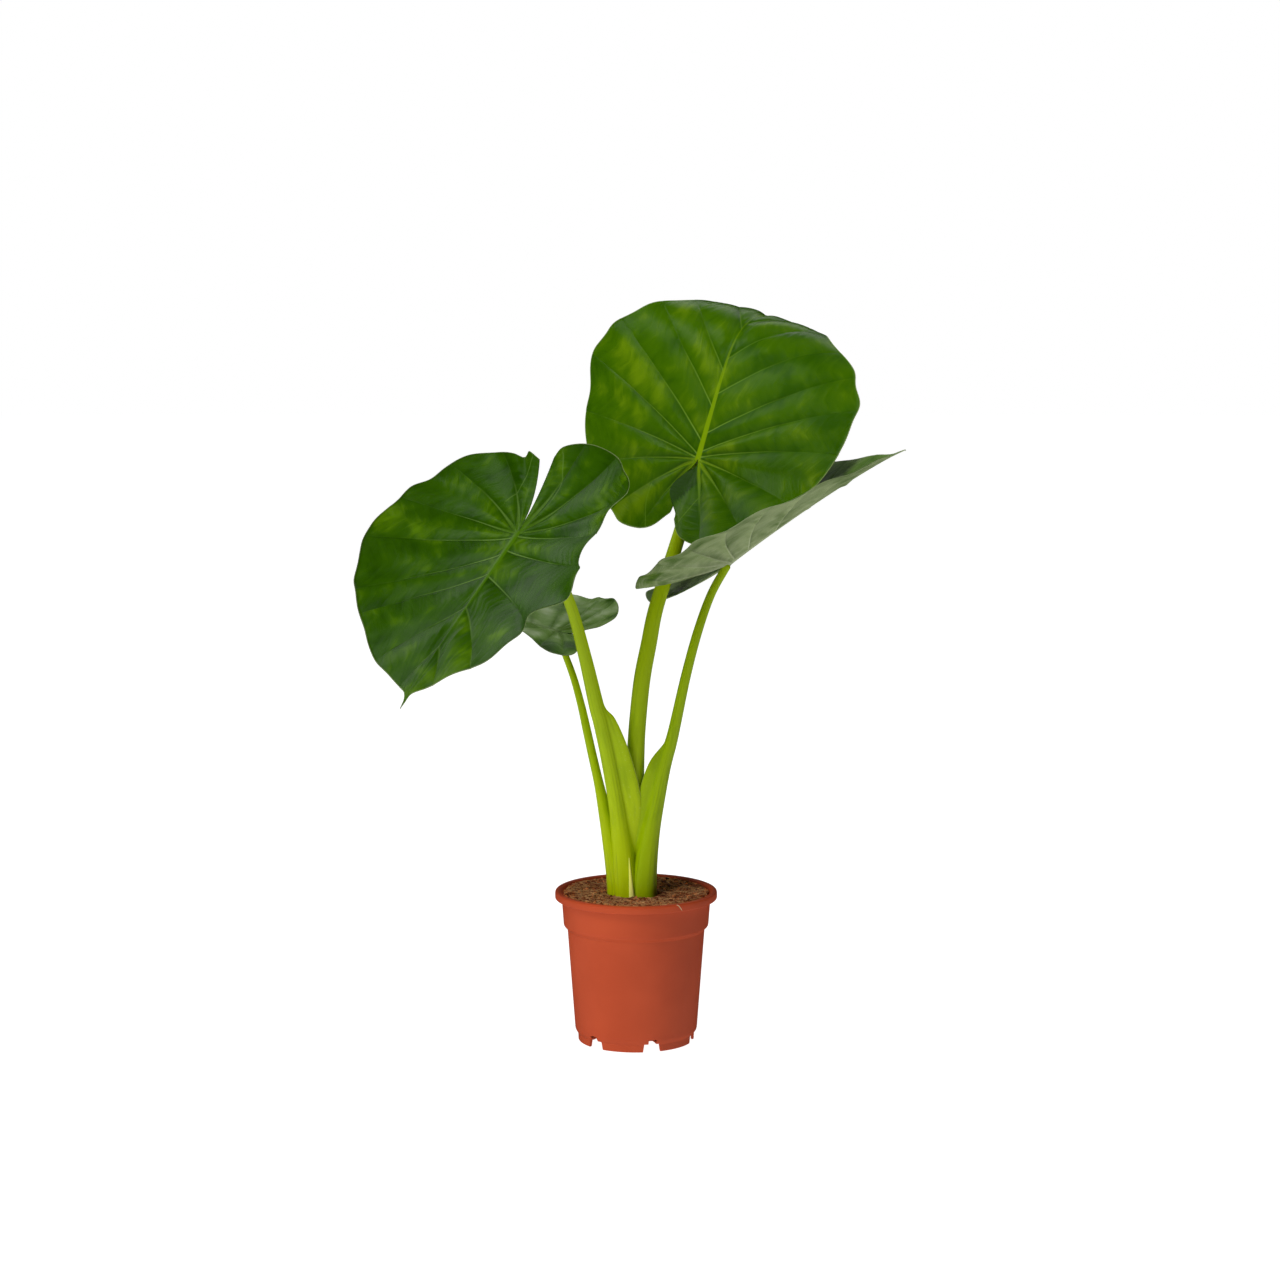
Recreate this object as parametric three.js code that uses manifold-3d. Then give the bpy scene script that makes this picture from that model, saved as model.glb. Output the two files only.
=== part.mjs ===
// Potted night-scented lily (Alocasia odora), an aroid house plant in a plastic nursery pot.
// Millimetres, +Z up. The origin is the centre of the pot's foot circle. The plant is seen from -Y
// in its usual view: +X is to the right and +Y is to the back.
import * as THREE from 'three';
import { mergeVertices } from 'three/addons/utils/BufferGeometryUtils.js';
import Module from 'manifold-3d';

// Driving dimensions
const POT_RIM_RADIUS = 85;        // outer edge of the rolled lip
const POT_HEIGHT = 160;           // foot to crest of the lip
const POT_COLLAR_RADIUS = 78;     // band under the lip
const POT_WAIST_RADIUS = 72;      // under the band
const POT_BOTTOM_RADIUS = 64;     // above the chamfer at the foot
const POT_FOOT_RADIUS = 60.8;
const POT_WALL = 1.6;
const POT_BASE_UNDERSIDE = 9;     // the base plate is raised by the foot ring
const FOOT_NOTCH_COUNT = 6;
const FOOT_NOTCH_DEG = 16;        // width of each notch in the foot ring
const FIRST_NOTCH_DEG = 16;       // from the front (-Y) towards +X
const SOIL_EDGE_HEIGHT = 157;     // against the pot's wall
const SOIL_MOUND = -2.2;          // the surface dips towards the stems
const GAP = 0.3;                  // clearance between pieces that touch
const BLADE_THICKNESS = 0.9;
const STEM_BASE_Z = 141;          // how deep the leaf bases stand in the soil

const wasm = await Module();
wasm.setup();

// Solids: conversion to and from the boolean library
function toSolid(geometry) {
  let g = geometry.clone();
  for (const name of Object.keys(g.attributes)) if (name !== 'position') g.deleteAttribute(name);
  g = mergeVertices(g, 1e-4);
  return new wasm.Manifold(new wasm.Mesh({
    numProp: 3,
    vertProperties: new Float32Array(g.attributes.position.array),
    triVerts: new Uint32Array(g.index.array),
  }));
}

function toGeometry(solid) {
  const mesh = solid.getMesh();
  const g = new THREE.BufferGeometry();
  g.setAttribute('position', new THREE.BufferAttribute(new Float32Array(mesh.vertProperties), 3));
  g.setIndex(new THREE.BufferAttribute(new Uint32Array(mesh.triVerts), 1));
  return largestBody(g);
}

// A cut can leave a loose sliver: only the largest body is kept.
function largestBody(geometry) {
  const g = mergeVertices(geometry, 1e-4);
  const index = g.index.array;
  const parent = Int32Array.from({ length: g.attributes.position.count }, (_, i) => i);
  const find = (i) => { while (parent[i] !== i) { parent[i] = parent[parent[i]]; i = parent[i]; } return i; };
  for (let i = 0; i < index.length; i += 3) {
    parent[find(index[i])] = find(index[i + 1]);
    parent[find(index[i + 1])] = find(index[i + 2]);
  }
  const size = new Map();
  for (let i = 0; i < index.length; i += 3) size.set(find(index[i]), (size.get(find(index[i])) || 0) + 1);
  const best = [...size.entries()].sort((a, b) => b[1] - a[1])[0][0];
  const kept = [];
  for (let i = 0; i < index.length; i += 3) {
    if (find(index[i]) === best && index[i] !== index[i + 1] && index[i + 1] !== index[i + 2]
      && index[i] !== index[i + 2]) kept.push(index[i], index[i + 1], index[i + 2]);
  }
  g.setIndex(kept);
  return g;
}

function fromArrays(vertices, triangles) {
  const g = new THREE.BufferGeometry();
  g.setAttribute('position', new THREE.BufferAttribute(new Float32Array(vertices.flat()), 3));
  g.setIndex(triangles.flat());
  return g;
}

// Small maths helpers
const DEG = Math.PI / 180;
const add = (a, b) => [a[0] + b[0], a[1] + b[1], a[2] + b[2]];
const scale = (a, k) => [a[0] * k, a[1] * k, a[2] * k];
const cross = (a, b) => [a[1] * b[2] - a[2] * b[1], a[2] * b[0] - a[0] * b[2], a[0] * b[1] - a[1] * b[0]];
const unit = (a) => scale(a, 1 / Math.hypot(...a));
const smooth = (x) => { const c = Math.min(1, Math.max(0, x)); return c * c * (3 - 2 * c); };

// Catmull-Rom spline through rows of numbers, at parameter u in [0, rows - 1]
function splineAt(rows, u) {
  const last = rows.length - 1;
  const i = Math.min(last - 1, Math.max(0, Math.floor(u)));
  const t = u - i;
  const p1 = rows[i];
  const p2 = rows[i + 1];
  const p0 = i > 0 ? rows[i - 1] : p1.map((v, k) => 2 * v - p2[k]);
  const p3 = i + 2 <= last ? rows[i + 2] : p2.map((v, k) => 2 * v - p1[k]);
  return p1.map((v, k) => 0.5 * (2 * v + (p2[k] - p0[k]) * t
    + (2 * p0[k] - 5 * v + 4 * p2[k] - p3[k]) * t * t
    + (3 * v - p0[k] - 3 * p2[k] + p3[k]) * t * t * t));
}

// Leaf blades
// Plan of a blade: s runs along the midrib from the junction with the stalk to the tip, t runs
// across, positive on the left seen from above towards the tip. Each half's edge is drawn from the
// tip to the inner corner of its basal lobe, and each vein as [start on midrib, end s, end t].
// Pose: heading (from +X towards +Y), rise and roll of the midrib at the junction in degrees. The
// midrib then bends down by "bend" per mm, plus "overBend" per mm between "overFrom" and "overTo".
// The lobes bend by "lobeBend". Each half leaves the midrib at the angle "fold" and droops by "droop"
// per mm. "bow" draws the inner edge of its lobe in, "notch" opens it beside the junction, and
// "lobeLift" raises it. "veinSag" curves the veins and "wave" is the height of the waved edge.
// Swells are low bulges of the surface: [s, t, radius, height].
const LEAF_LEFT = {
  junction: [-120.8, -62, 541.7], heading: -124, rise: -37.5, roll: 2.7, length: 248, veinSag: 0.045, wave: 2.2,
  bend: 0, overFrom: 240, overTo: 300, overBend: 0.012, lobeBend: -0.0058, twist: 0.00015, lobeTwist: 0,
  left: {
    fold: -0.183, droop: -0.0058, bow: 0, lobeLift: 2, notch: 0,
    edge: [[248, 0], [238, 1.4], [229, 4], [219, 14], [206, 31], [191, 53], [174, 75], [158, 91], [143, 97],
      [129, 103], [120, 131], [111, 158], [91, 160], [62, 130], [36, 127], [10, 120], [-10, 128],
      [-26, 150], [-50, 147], [-75, 119], [-94, 93], [-105, 66], [-109, 38], [-105, 20], [-94, 9]],
    veins: [[165, 216, 22], [109, 190, 54], [63, 138, 94], [25, 86, 135], [4, 14, 127], [0, -32, 147],
      [0, -92, 98], [0, -106, 46]],
    swells: [[112, 150, 25, -10], [164, 88, 26, -3.5]],
  },
  right: {
    fold: -0.094, droop: -0.0041, bow: 0, lobeLift: 0, notch: 0,
    edge: [[248, 0], [238, 1.6], [229, 6], [221, 17], [208, 38], [192, 64], [176, 82], [156, 99], [133, 120],
      [116, 132], [100, 143], [80, 149], [52, 159], [30, 161], [10, 157], [-14, 153], [-36, 146],
      [-54, 132], [-72, 119], [-92, 95], [-98, 66], [-97, 44], [-94, 32], [-100, 25], [-92, 11]],
    veins: [[160, 224, 22], [107, 189, 71], [60, 138, 116], [30, 113, 136], [6, 46, 157], [0, -20, 152],
      [0, -78, 114], [0, -99, 58]],
    swells: [],
  },
};
const LEAF_TOP = {
  junction: [65.7, 96, 603.9], heading: 36.9, rise: 70.1, roll: 20.5, length: 297, veinSag: -0.02, wave: 1.2,
  bend: 0, overFrom: 119, overTo: 256, overBend: 0.0173, lobeBend: -0.0028, twist: 0.001, lobeTwist: 0.0014,
  left: {
    fold: -0.03, droop: 0.0013, bow: -5, lobeLift: -6, notch: 0,
    edge: [[297, 0], [284, 9], [262, 25], [236, 43], [210, 58], [191, 73], [175, 95], [161, 117], [148, 134],
      [133, 152], [118, 161], [100, 173], [80, 173], [56, 169], [32, 167], [4, 162], [-20, 152],
      [-44, 135], [-66, 102], [-78, 82], [-81, 57], [-76, 34], [-61, 17]],
    veins: [[200, 262, 27], [150, 224, 60], [98, 188, 86], [57, 160, 108], [18, 133, 145], [4, 93, 172],
      [1, 30, 167], [0, -24, 150], [0, -66, 104], [0, -84, 54]],
    swells: [[203, 65, 24, -4]],
  },
  right: {
    fold: 0.125, droop: 0.0015, bow: 24, lobeLift: 13, notch: 3,
    edge: [[297, 0], [284, 10], [262, 29], [236, 50], [210, 69], [186, 88], [164, 110], [134, 142], [112, 152],
      [92, 164], [70, 163], [44, 162], [18, 158], [-10, 145], [-36, 124], [-62, 104], [-84, 86],
      [-98, 70], [-104, 52], [-99, 33], [-88, 17], [-74, 6]],
    veins: [[205, 268, 24], [158, 232, 58], [112, 196, 88], [72, 158, 119], [28, 122, 148], [8, 86, 163],
      [2, 34, 163], [0, -30, 128], [0, -74, 94], [0, -103, 58]],
    swells: [],
  },
};
const LEAF_RIGHT = {
  junction: [98.4, 26, 503.2], heading: -2.3, rise: 37, roll: -9.7, length: 216, veinSag: 0.035, wave: 2.2,
  bend: 0.0005, overFrom: 200, overTo: 300, overBend: 0.008, lobeBend: -0.0041, twist: 0.00125, lobeTwist: 0.0011,
  left: {
    fold: 0.2, droop: 0.0015, bow: 0, lobeLift: -3.5, notch: 0, foldAhead: 0.0011, foldBehind: -0.001,
    edge: [[216, 0], [203, 2.5], [189, 12], [171, 30], [148, 56], [120, 84], [90, 106], [60, 119], [30, 127],
      [0, 128], [-28, 122], [-54, 110], [-78, 92], [-95, 70], [-103, 46], [-98, 24], [-82, 10]],
    veins: [[142, 186, 17], [98, 158, 45], [58, 122, 84], [24, 78, 112], [6, 30, 127], [0, -18, 124],
      [0, -66, 102], [0, -98, 42]],
    swells: [[-88, 78, 40, 11], [-72, 20, 26, -3]],
  },
  right: {
    fold: 0.293, droop: 0.0018, bow: -5, lobeLift: 0, notch: 0,
    edge: [[216, 0], [203, 2.5], [189, 12], [171, 31], [146, 58], [118, 86], [88, 107], [58, 121], [28, 130],
      [0, 134], [-20, 131], [-42, 119], [-62, 99], [-80, 82], [-92, 62], [-101, 43], [-97, 36]],
    veins: [[142, 186, 17], [96, 158, 46], [56, 122, 84], [22, 76, 113], [5, 28, 130], [0, -20, 135],
      [0, -64, 102], [0, -94, 58]],
    swells: [],
  },
};
const LEAF_BACK = {
  junction: [-85.6, 75, 423.1], heading: 159, rise: 11.8, roll: -7.7, length: 146, veinSag: 0.035, wave: 1.5,
  bend: -0.0006, overFrom: 136, overTo: 200, overBend: 0.03, lobeBend: -0.0018, twist: 0.0006, lobeTwist: 0.003,
  left: {
    fold: 0.3, droop: 0.0054, bow: 0, lobeLift: 0, notch: 0,
    edge: [[146, 0], [136, 1], [127, 3], [111, 8], [92, 15], [70, 25], [46, 38], [22, 51], [-4, 65], [-26, 72],
      [-40, 67], [-48, 51], [-47, 32], [-39, 8]],
    veins: [[92, 118, 6], [60, 96, 14], [30, 66, 28], [8, 26, 49], [0, -12, 68], [0, -38, 67], [0, -47, 43]],
    swells: [],
  },
  right: {
    fold: 0.164, droop: 0.0005, bow: 0, lobeLift: 0, notch: 0,
    edge: [[146, 0], [136, 3], [127, 10], [112, 25], [94, 43], [72, 64], [46, 82], [24, 89], [8, 94], [-4, 94],
      [-14, 92], [-22, 95], [-34, 83], [-43, 70], [-46, 55], [-40, 26]],
    veins: [[92, 122, 14], [58, 98, 38], [28, 66, 68], [7, 30, 89], [0, -12, 95], [0, -34, 83], [0, -48, 58]],
    swells: [],
  },
};

const RING_STEPS = [0.08, 0.26, 0.5, 0.74, 0.92, 1];
const VEIN_HALF_WIDTH = 3.2;
const VEIN_GROOVE = 0.5;
const VEIN_RIDGE = 1.3;
const MIDRIB_RIDGE = 3.6;
const PLEAT_RISE = 2;
const WAVE_LENGTH = 62;

// Place a point of the plan in space. side is +1 for the left half and -1 for the right half, out is
// the distance from the midrib line on that side, lift is measured along the surface normal.
function placeOnBlade(leaf, side, s, out, lift) {
  const half = side > 0 ? leaf.left : leaf.right;
  const a = leaf.heading * DEG;
  const p = leaf.rise * DEG;
  const r = leaf.roll * DEG;
  const along = [Math.cos(a) * Math.cos(p), Math.sin(a) * Math.cos(p), Math.sin(p)];
  const flat = [-Math.sin(a), Math.cos(a), 0];
  const up = cross(along, flat);
  const across = add(scale(flat, Math.cos(r)), scale(up, Math.sin(r)));
  const normal = add(scale(flat, -Math.sin(r)), scale(up, Math.cos(r)));
  const soft = 20;
  const past = (x, from) => 0.5 * (Math.hypot(x - from, soft) + x - Math.hypot(from, soft));
  const turn = (x) => {
    if (x <= 0) return -leaf.lobeBend * x;
    return -(leaf.bend * x + leaf.overBend * (past(x, leaf.overFrom) - past(x, leaf.overTo)));
  };
  const fold = half.fold + s * ((s > 0 ? half.foldAhead : half.foldBehind) || 0);
  const steps = 24;
  let x = 0;
  let z = 0;
  let y = 0;
  let h = 0;
  for (let i = 0; i < steps; i++) {
    const f = (i + 0.5) / steps;
    x += Math.cos(turn(s * f)) * s / steps;
    z += Math.sin(turn(s * f)) * s / steps;
    const slope = fold - half.droop * Math.abs(out) * f;
    y += Math.cos(slope) * out / steps;
    h += Math.sin(slope) * out / steps;
  }
  const slope = (fold - half.droop * Math.abs(out)) * Math.min(1, Math.abs(out) / 8);
  y = (y - Math.sin(slope) * lift) * side;
  h += Math.cos(slope) * lift;
  if (s < 0) h -= half.lobeLift * s / 80;
  const tw = s > 0 ? leaf.twist * s : leaf.lobeTwist * s;
  const y2 = y * Math.cos(tw) - h * Math.sin(tw);
  const h2 = y * Math.sin(tw) + h * Math.cos(tw);
  const b = turn(s);
  const px = x - h2 * Math.sin(b);
  const pz = z + h2 * Math.cos(b);
  return add(leaf.junction, add(scale(along, px), add(scale(across, y2), scale(normal, pz))));
}

// Columns of a half: each runs from the midrib line to the edge, on a vein or between two veins.
function columnsOf(leaf, half) {
  const top = half.edge.length - 1;
  const fine = [];
  for (let u = 0; u <= top; u += 0.05) fine.push([u, ...splineAt(half.edge, u)]);
  const nearest = (s, t) => fine.reduce((best, p) => {
    const d = Math.hypot(p[1] - s, p[2] - t);
    return d < best[0] ? [d, p[0]] : best;
  }, [1e9, 0])[1];
  const marks = [{ start: leaf.length, u: 0, vein: false }];
  for (const [start, s, t] of half.veins) marks.push({ start, u: nearest(s, t), vein: true });
  marks.push({ start: 0, u: top, vein: false });
  const columns = [{ start: leaf.length, u: 0, vein: 0, phase: 0, span: 1 }];
  for (let i = 0; i + 1 < marks.length; i++) {
    const m = marks[i];
    const n = marks[i + 1];
    const a = splineAt(half.edge, m.u);
    const b = splineAt(half.edge, n.u);
    const span = Math.hypot(a[0] - b[0], a[1] - b[1]);
    const parts = span > 34 ? 3 : 2;
    for (let k = 1; k < parts; k++) {
      const f = k / parts;
      columns.push({ start: m.start + (n.start - m.start) * f, u: m.u + (n.u - m.u) * f, vein: 0, phase: f, span });
    }
    if (n.vein) {
      columns.push({ start: n.start, u: n.u, vein: -1, phase: 0, span });
      columns.push({ start: n.start, u: n.u, vein: 0.5, phase: 0, span });
      columns.push({ start: n.start, u: n.u, vein: 1, phase: 0, span });
    } else columns.push({ start: 0, u: n.u, vein: 0, phase: 0, span });
  }
  return columns;
}

// A point of a half at column c and fraction w of the way to the edge: plan position and relief
function pointOfHalf(leaf, half, c, w) {
  const end = splineAt(half.edge, c.u);
  let s = c.start + (end[0] - c.start) * w;
  let out = end[1] * w;
  const long = Math.hypot(end[0] - c.start, end[1]) || 1;
  const dir = [(end[0] - c.start) / long, end[1] / long];
  const sag = leaf.veinSag * long * 4 * w * (1 - w);
  s -= sag * dir[1];
  out += sag * dir[0] * 0.5;
  const last = half.edge.length - 1;
  const nearSinus = Math.exp(-(((last - c.u) / 2.2) ** 2));
  out -= half.bow * Math.sin(Math.PI * w) ** 2 * nearSinus;
  out += half.notch * Math.exp(-(((w - 0.11) / 0.08) ** 2)) * nearSinus;
  const footWidth = VEIN_HALF_WIDTH * (1 - 0.55 * w) * Math.min(1, long / 120) * Math.min(1, w / 0.3);
  if (Math.abs(c.vein) === 1) {
    s -= c.vein * dir[1] * footWidth;
    out += c.vein * dir[0] * footWidth;
  }
  const crest = c.vein === 0.5 ? 1 : 0;
  const fade = 1 - 0.8 * w;
  const rise = PLEAT_RISE * Math.min(1, c.span / 45) * Math.sin(Math.PI * c.phase) ** 2
    * Math.sin(Math.PI * Math.min(1, w * 1.02)) ** 0.8 * smooth(out / 14);
  const arc = c.u * 26;
  let wave = leaf.wave * Math.min(1, long / 100) * w ** 4 * Math.sin(2 * Math.PI * arc / WAVE_LENGTH + leaf.length);
  for (const [atS, atOut, radius, height] of half.swells) {
    wave += height * Math.exp(-((s - atS) ** 2 + (out - atOut) ** 2) / radius ** 2);
  }
  const groove = crest * VEIN_GROOVE * fade * smooth(w / 0.1);
  return { s, out, rise: rise + wave - groove, ridge: crest * VEIN_RIDGE * fade };
}

function bladeShell(leaf, grow = 0) {
  const top = [];
  const bottom = [];
  const push = (side, s, out, rise, thick) => {
    top.push(placeOnBlade(leaf, side, s, out, rise + BLADE_THICKNESS / 2 + grow));
    bottom.push(placeOnBlade(leaf, side, s, out, rise - BLADE_THICKNESS / 2 - thick - grow));
    return top.length - 1;
  };
  // Midrib line: a thick ridge below that thins out to the tip
  const line = [];
  const lineSteps = 20;
  for (let i = 0; i <= lineSteps; i++) {
    const s = leaf.length * i / lineSteps;
    const size = leaf.length / 250;
    const deep = MIDRIB_RIDGE * size * (1 - 0.85 * (i / lineSteps) ** 0.7);
    line.push([s, push(1, s, 0, 0.3 * (1 - i / lineSteps), deep)]);
  }
  const faces = [];
  const face = (a, b, c, side) => {
    if (a === b || b === c || a === c) return;
    faces.push(side > 0 ? [a, b, c] : [a, c, b]);
  };
  for (const side of [1, -1]) {
    const half = side > 0 ? leaf.left : leaf.right;
    const columns = columnsOf(leaf, half);
    const grid = columns.map((c, k) => RING_STEPS.map((w, j) => {
      if (k === 0) return line[lineSteps][1];
      const q = pointOfHalf(leaf, half, c, w);
      const nearRib = j === 0 ? MIDRIB_RIDGE * 0.35 * Math.max(0, 1 - q.s / leaf.length) : 0;
      return push(side, q.s, q.out, q.rise, Math.max(q.ridge, nearRib));
    }));
    const rings = RING_STEPS.length;
    for (let k = 0; k + 1 < grid.length; k++) {
      for (let j = 0; j + 1 < rings; j++) {
        const a = grid[k][j];
        const b = grid[k][j + 1];
        const c = grid[k + 1][j + 1];
        const d = grid[k + 1][j];
        if ((k + j) % 2) { face(a, b, c, side); face(a, c, d, side); } else { face(a, b, d, side); face(b, c, d, side); }
      }
    }
    // Join the first ring to the midrib line, walking both from the junction to the tip
    const inner = columns.map((c, k) => [c.start, grid[k][0]]).reverse();
    let i = 0;
    let k = 0;
    while (i < line.length - 1 || k < inner.length - 1) {
      const nextLine = i < line.length - 1 ? line[i + 1][0] : 1e9;
      const nextInner = k < inner.length - 1 ? inner[k + 1][0] : 1e9;
      if (nextInner <= nextLine) { face(line[i][1], inner[k][1], inner[k + 1][1], -side); k++; }
      else { face(line[i][1], inner[k][1], line[i + 1][1], -side); i++; }
    }
  }
  const n = top.length;
  const triangles = [...faces];
  const used = new Map();
  for (const [a, b, c] of faces) {
    for (const [p, q] of [[a, b], [b, c], [c, a]]) used.set(p + ',' + q, true);
  }
  for (const [a, b, c] of faces) triangles.push([a + n, c + n, b + n]);
  for (const [a, b, c] of faces) {
    for (const [p, q] of [[a, b], [b, c], [c, a]]) {
      if (!used.has(q + ',' + p)) { triangles.push([q, p, p + n]); triangles.push([q, p + n, q + n]); }
    }
  }
  return fromArrays([...top, ...bottom], triangles);
}

// A block over the junction of a blade, bounded below by the blade's lower side less a gap
function junctionBlock(leaf) {
  const reach = 26;
  const steps = 8;
  const vertices = [];
  const triangles = [];
  const depth = BLADE_THICKNESS / 2 + MIDRIB_RIDGE * leaf.length / 250 + GAP + 0.2;
  const at = (i, j, k) => (k * (steps + 1) + i) * (steps + 1) + j;
  for (let k = 0; k < 2; k++) {
    for (let i = 0; i <= steps; i++) {
      for (let j = 0; j <= steps; j++) {
        const s = -reach + 2 * reach * i / steps;
        const t = -reach + 2 * reach * j / steps;
        vertices.push(placeOnBlade(leaf, t >= 0 ? 1 : -1, s, Math.abs(t), k ? 26 : -depth));
      }
    }
  }
  for (let i = 0; i < steps; i++) {
    for (let j = 0; j < steps; j++) {
      triangles.push([at(i, j, 0), at(i, j + 1, 0), at(i + 1, j + 1, 0)], [at(i, j, 0), at(i + 1, j + 1, 0), at(i + 1, j, 0)]);
      triangles.push([at(i, j, 1), at(i + 1, j + 1, 1), at(i, j + 1, 1)], [at(i, j, 1), at(i + 1, j, 1), at(i + 1, j + 1, 1)]);
    }
    triangles.push([at(i, 0, 0), at(i + 1, 0, 0), at(i + 1, 0, 1)], [at(i, 0, 0), at(i + 1, 0, 1), at(i, 0, 1)]);
    triangles.push([at(i, steps, 0), at(i + 1, steps, 1), at(i + 1, steps, 0)], [at(i, steps, 0), at(i, steps, 1), at(i + 1, steps, 1)]);
    triangles.push([at(0, i, 0), at(0, i + 1, 1), at(0, i + 1, 0)], [at(0, i, 0), at(0, i, 1), at(0, i + 1, 1)]);
    triangles.push([at(steps, i, 0), at(steps, i + 1, 0), at(steps, i + 1, 1)], [at(steps, i, 0), at(steps, i + 1, 1), at(steps, i, 1)]);
  }
  return fromArrays(vertices, triangles);
}

// Stalks with their sheaths
// Each row: x, y, z of the axis, half width, half depth, reach of the sheath's wing.
const STALK_LEFT = {
  wingAt: -12,
  rows: [[-10, -1.5, 141, 13, 20.5, 0], [-10.5, -1.5, 165, 13, 19.5, 0], [-12.6, -1, 191, 12.2, 16.2, 2],
    [-16, -1, 223, 10.6, 12.5, 9.5], [-20.2, -1.5, 255, 9.2, 10, 17], [-28.3, -3, 301, 8.6, 8.6, 14.5],
    [-36, -5, 337, 8.3, 8.3, 8], [-41.3, -7, 357, 7.9, 7.9, 0], [-52.7, -13, 408, 6.8, 6.8, 0],
    [-65.5, -23, 458, 5.9, 5.9, 0], [-81, -37, 497, 5.7, 5.7, 0], [-103, -53, 528, 5.5, 5.5, 0],
    [-122.5, -63, 543, 5.4, 5.4, 0]],
};
const STALK_TOP = {
  wingAt: 90,
  rows: [[-3, 6, 141, 11.5, 12.5, 0], [-2.5, 6, 200, 11, 12, 0], [-1.5, 6.5, 255, 10, 10.5, 0],
    [-0.4, 8, 301, 9.2, 9.2, 0], [1.5, 11, 335, 8.9, 8.9, 0], [6.2, 15, 380, 8.7, 8.7, 0],
    [13.2, 20, 417, 8.3, 8.3, 0], [20.8, 26.5, 454, 7.8, 7.8, 0], [37.1, 48, 502.2, 7.4, 7.4, 0],
    [49, 75, 537.3, 7, 7, 0], [58, 100.5, 567, 6.6, 6.6, 0], [63.7, 111.5, 589.7, 6.3, 6.3, 0],
    [65.9, 101, 603.1, 6, 6, 0]],
};
const STALK_RIGHT = {
  wingAt: 192,
  rows: [[8, -1.5, 141, 14, 20.5, 0], [8, -1.5, 165, 13.8, 20, 0], [10.3, -1, 191, 12.2, 17.5, 2],
    [14.5, -1, 223, 10.6, 13.5, 7], [21, -1.5, 255, 8.8, 10, 11], [28.5, -1, 290, 7.6, 7.8, 9],
    [36.2, 0, 316, 6.4, 6.4, 0], [41.2, 1, 337, 5.8, 5.8, 0], [51.7, 5, 385, 5.1, 5.1, 0],
    [63.8, 11, 430, 4.7, 4.7, 0], [77.5, 19, 468, 4.3, 4.3, 0], [92, 25.5, 494, 4.2, 4.2, 0],
    [98.8, 26.2, 504, 4.2, 4.2, 0]],
};
const STALK_BACK = {
  wingAt: 0, perRow: 1,
  rows: [[-17.5, 3, 141, 13, 15, 0], [-18.8, 3, 165, 12, 14.5, 0], [-23, 3.5, 190, 10, 12, 0],
    [-28, 6, 215, 8, 9.5, 0], [-34, 10, 247, 6.4, 6.8, 0], [-39.5, 16, 272, 5, 5, 0],
    [-46.2, 24, 300, 4.6, 4.6, 0], [-52, 32, 325, 4.4, 4.4, 0], [-58, 41, 350, 4, 4, 0],
    [-66, 52, 377, 3.7, 3.7, 0], [-75.5, 63, 401, 3.4, 3.4, 0], [-83.5, 73, 419, 3.3, 3.3, 0],
    [-86, 75.5, 425, 3.3, 3.3, 0]],
};
const CATAPHYLL = {
  wingAt: 0, perRow: 1,
  rows: [[-4.2, -20.5, 141, 3.2, 3.4, 0], [-4.6, -20.3, 158, 2.8, 3, 0], [-5.6, -19, 172, 1.9, 2.2, 0],
    [-6.6, -17.2, 186, 1, 1.2, 0], [-7.3, -15.8, 197, 0.3, 0.3, 0]],
};
const RIM_ANGLES = [0, 5, 11, 19, 31, 48, 70, 95, 122, 151, 180, 209, 238, 265, 290, 312, 329, 341, 349, 355];

function stalkShell(stalk, grow = 0, perRow = 2) {
  const rows = stalk.rows;
  const count = (rows.length - 1) * perRow + 1;
  const vertices = [];
  const triangles = [];
  const ring = RIM_ANGLES.length;
  for (let i = 0; i < count; i++) {
    const u = i / perRow;
    const [x, y, z, rx, ry, wing] = splineAt(rows, u);
    const before = splineAt(rows, Math.max(0, u - 0.05));
    const after = splineAt(rows, Math.min(rows.length - 1, u + 0.05));
    let along = unit([after[0] - before[0], after[1] - before[1], after[2] - before[2]]);
    if (z < 235) along = unit(add(scale(along, smooth((z - 165) / 70)), scale([0, 0, 1], 1 - smooth((z - 165) / 70))));
    const right = unit(cross([0, 1, 0], along));
    const back = cross(along, right);
    for (const a of RIM_ANGLES) {
      const g = (a + stalk.wingAt) * DEG;
      const off = Math.min(a, 360 - a) * DEG;
      const reach = Math.max(0, wing) * Math.exp(-((off / 0.3) ** 2));
      const oval = rx * ry / Math.hypot(ry * Math.cos(g), rx * Math.sin(g));
      const r = oval + reach + grow;
      const px = r * Math.cos(g);
      const py = r * Math.sin(g);
      vertices.push(add([x, y, z], add(scale(right, px), scale(back, py))));
    }
  }
  const first = vertices.length;
  const [bx, by, bz] = rows[0];
  vertices.push([bx, by, bz]);
  const end = rows[rows.length - 1];
  vertices.push([end[0], end[1], end[2]]);
  for (let j = 0; j < ring; j++) {
    const k = (j + 1) % ring;
    triangles.push([first, k, j]);
    const base = (count - 1) * ring;
    triangles.push([first + 1, base + j, base + k]);
    for (let i = 0; i + 1 < count; i++) {
      const a = i * ring + j;
      const b = i * ring + k;
      triangles.push([a, b, b + ring], [a, b + ring, a + ring]);
    }
  }
  return fromArrays(vertices, triangles);
}

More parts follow.
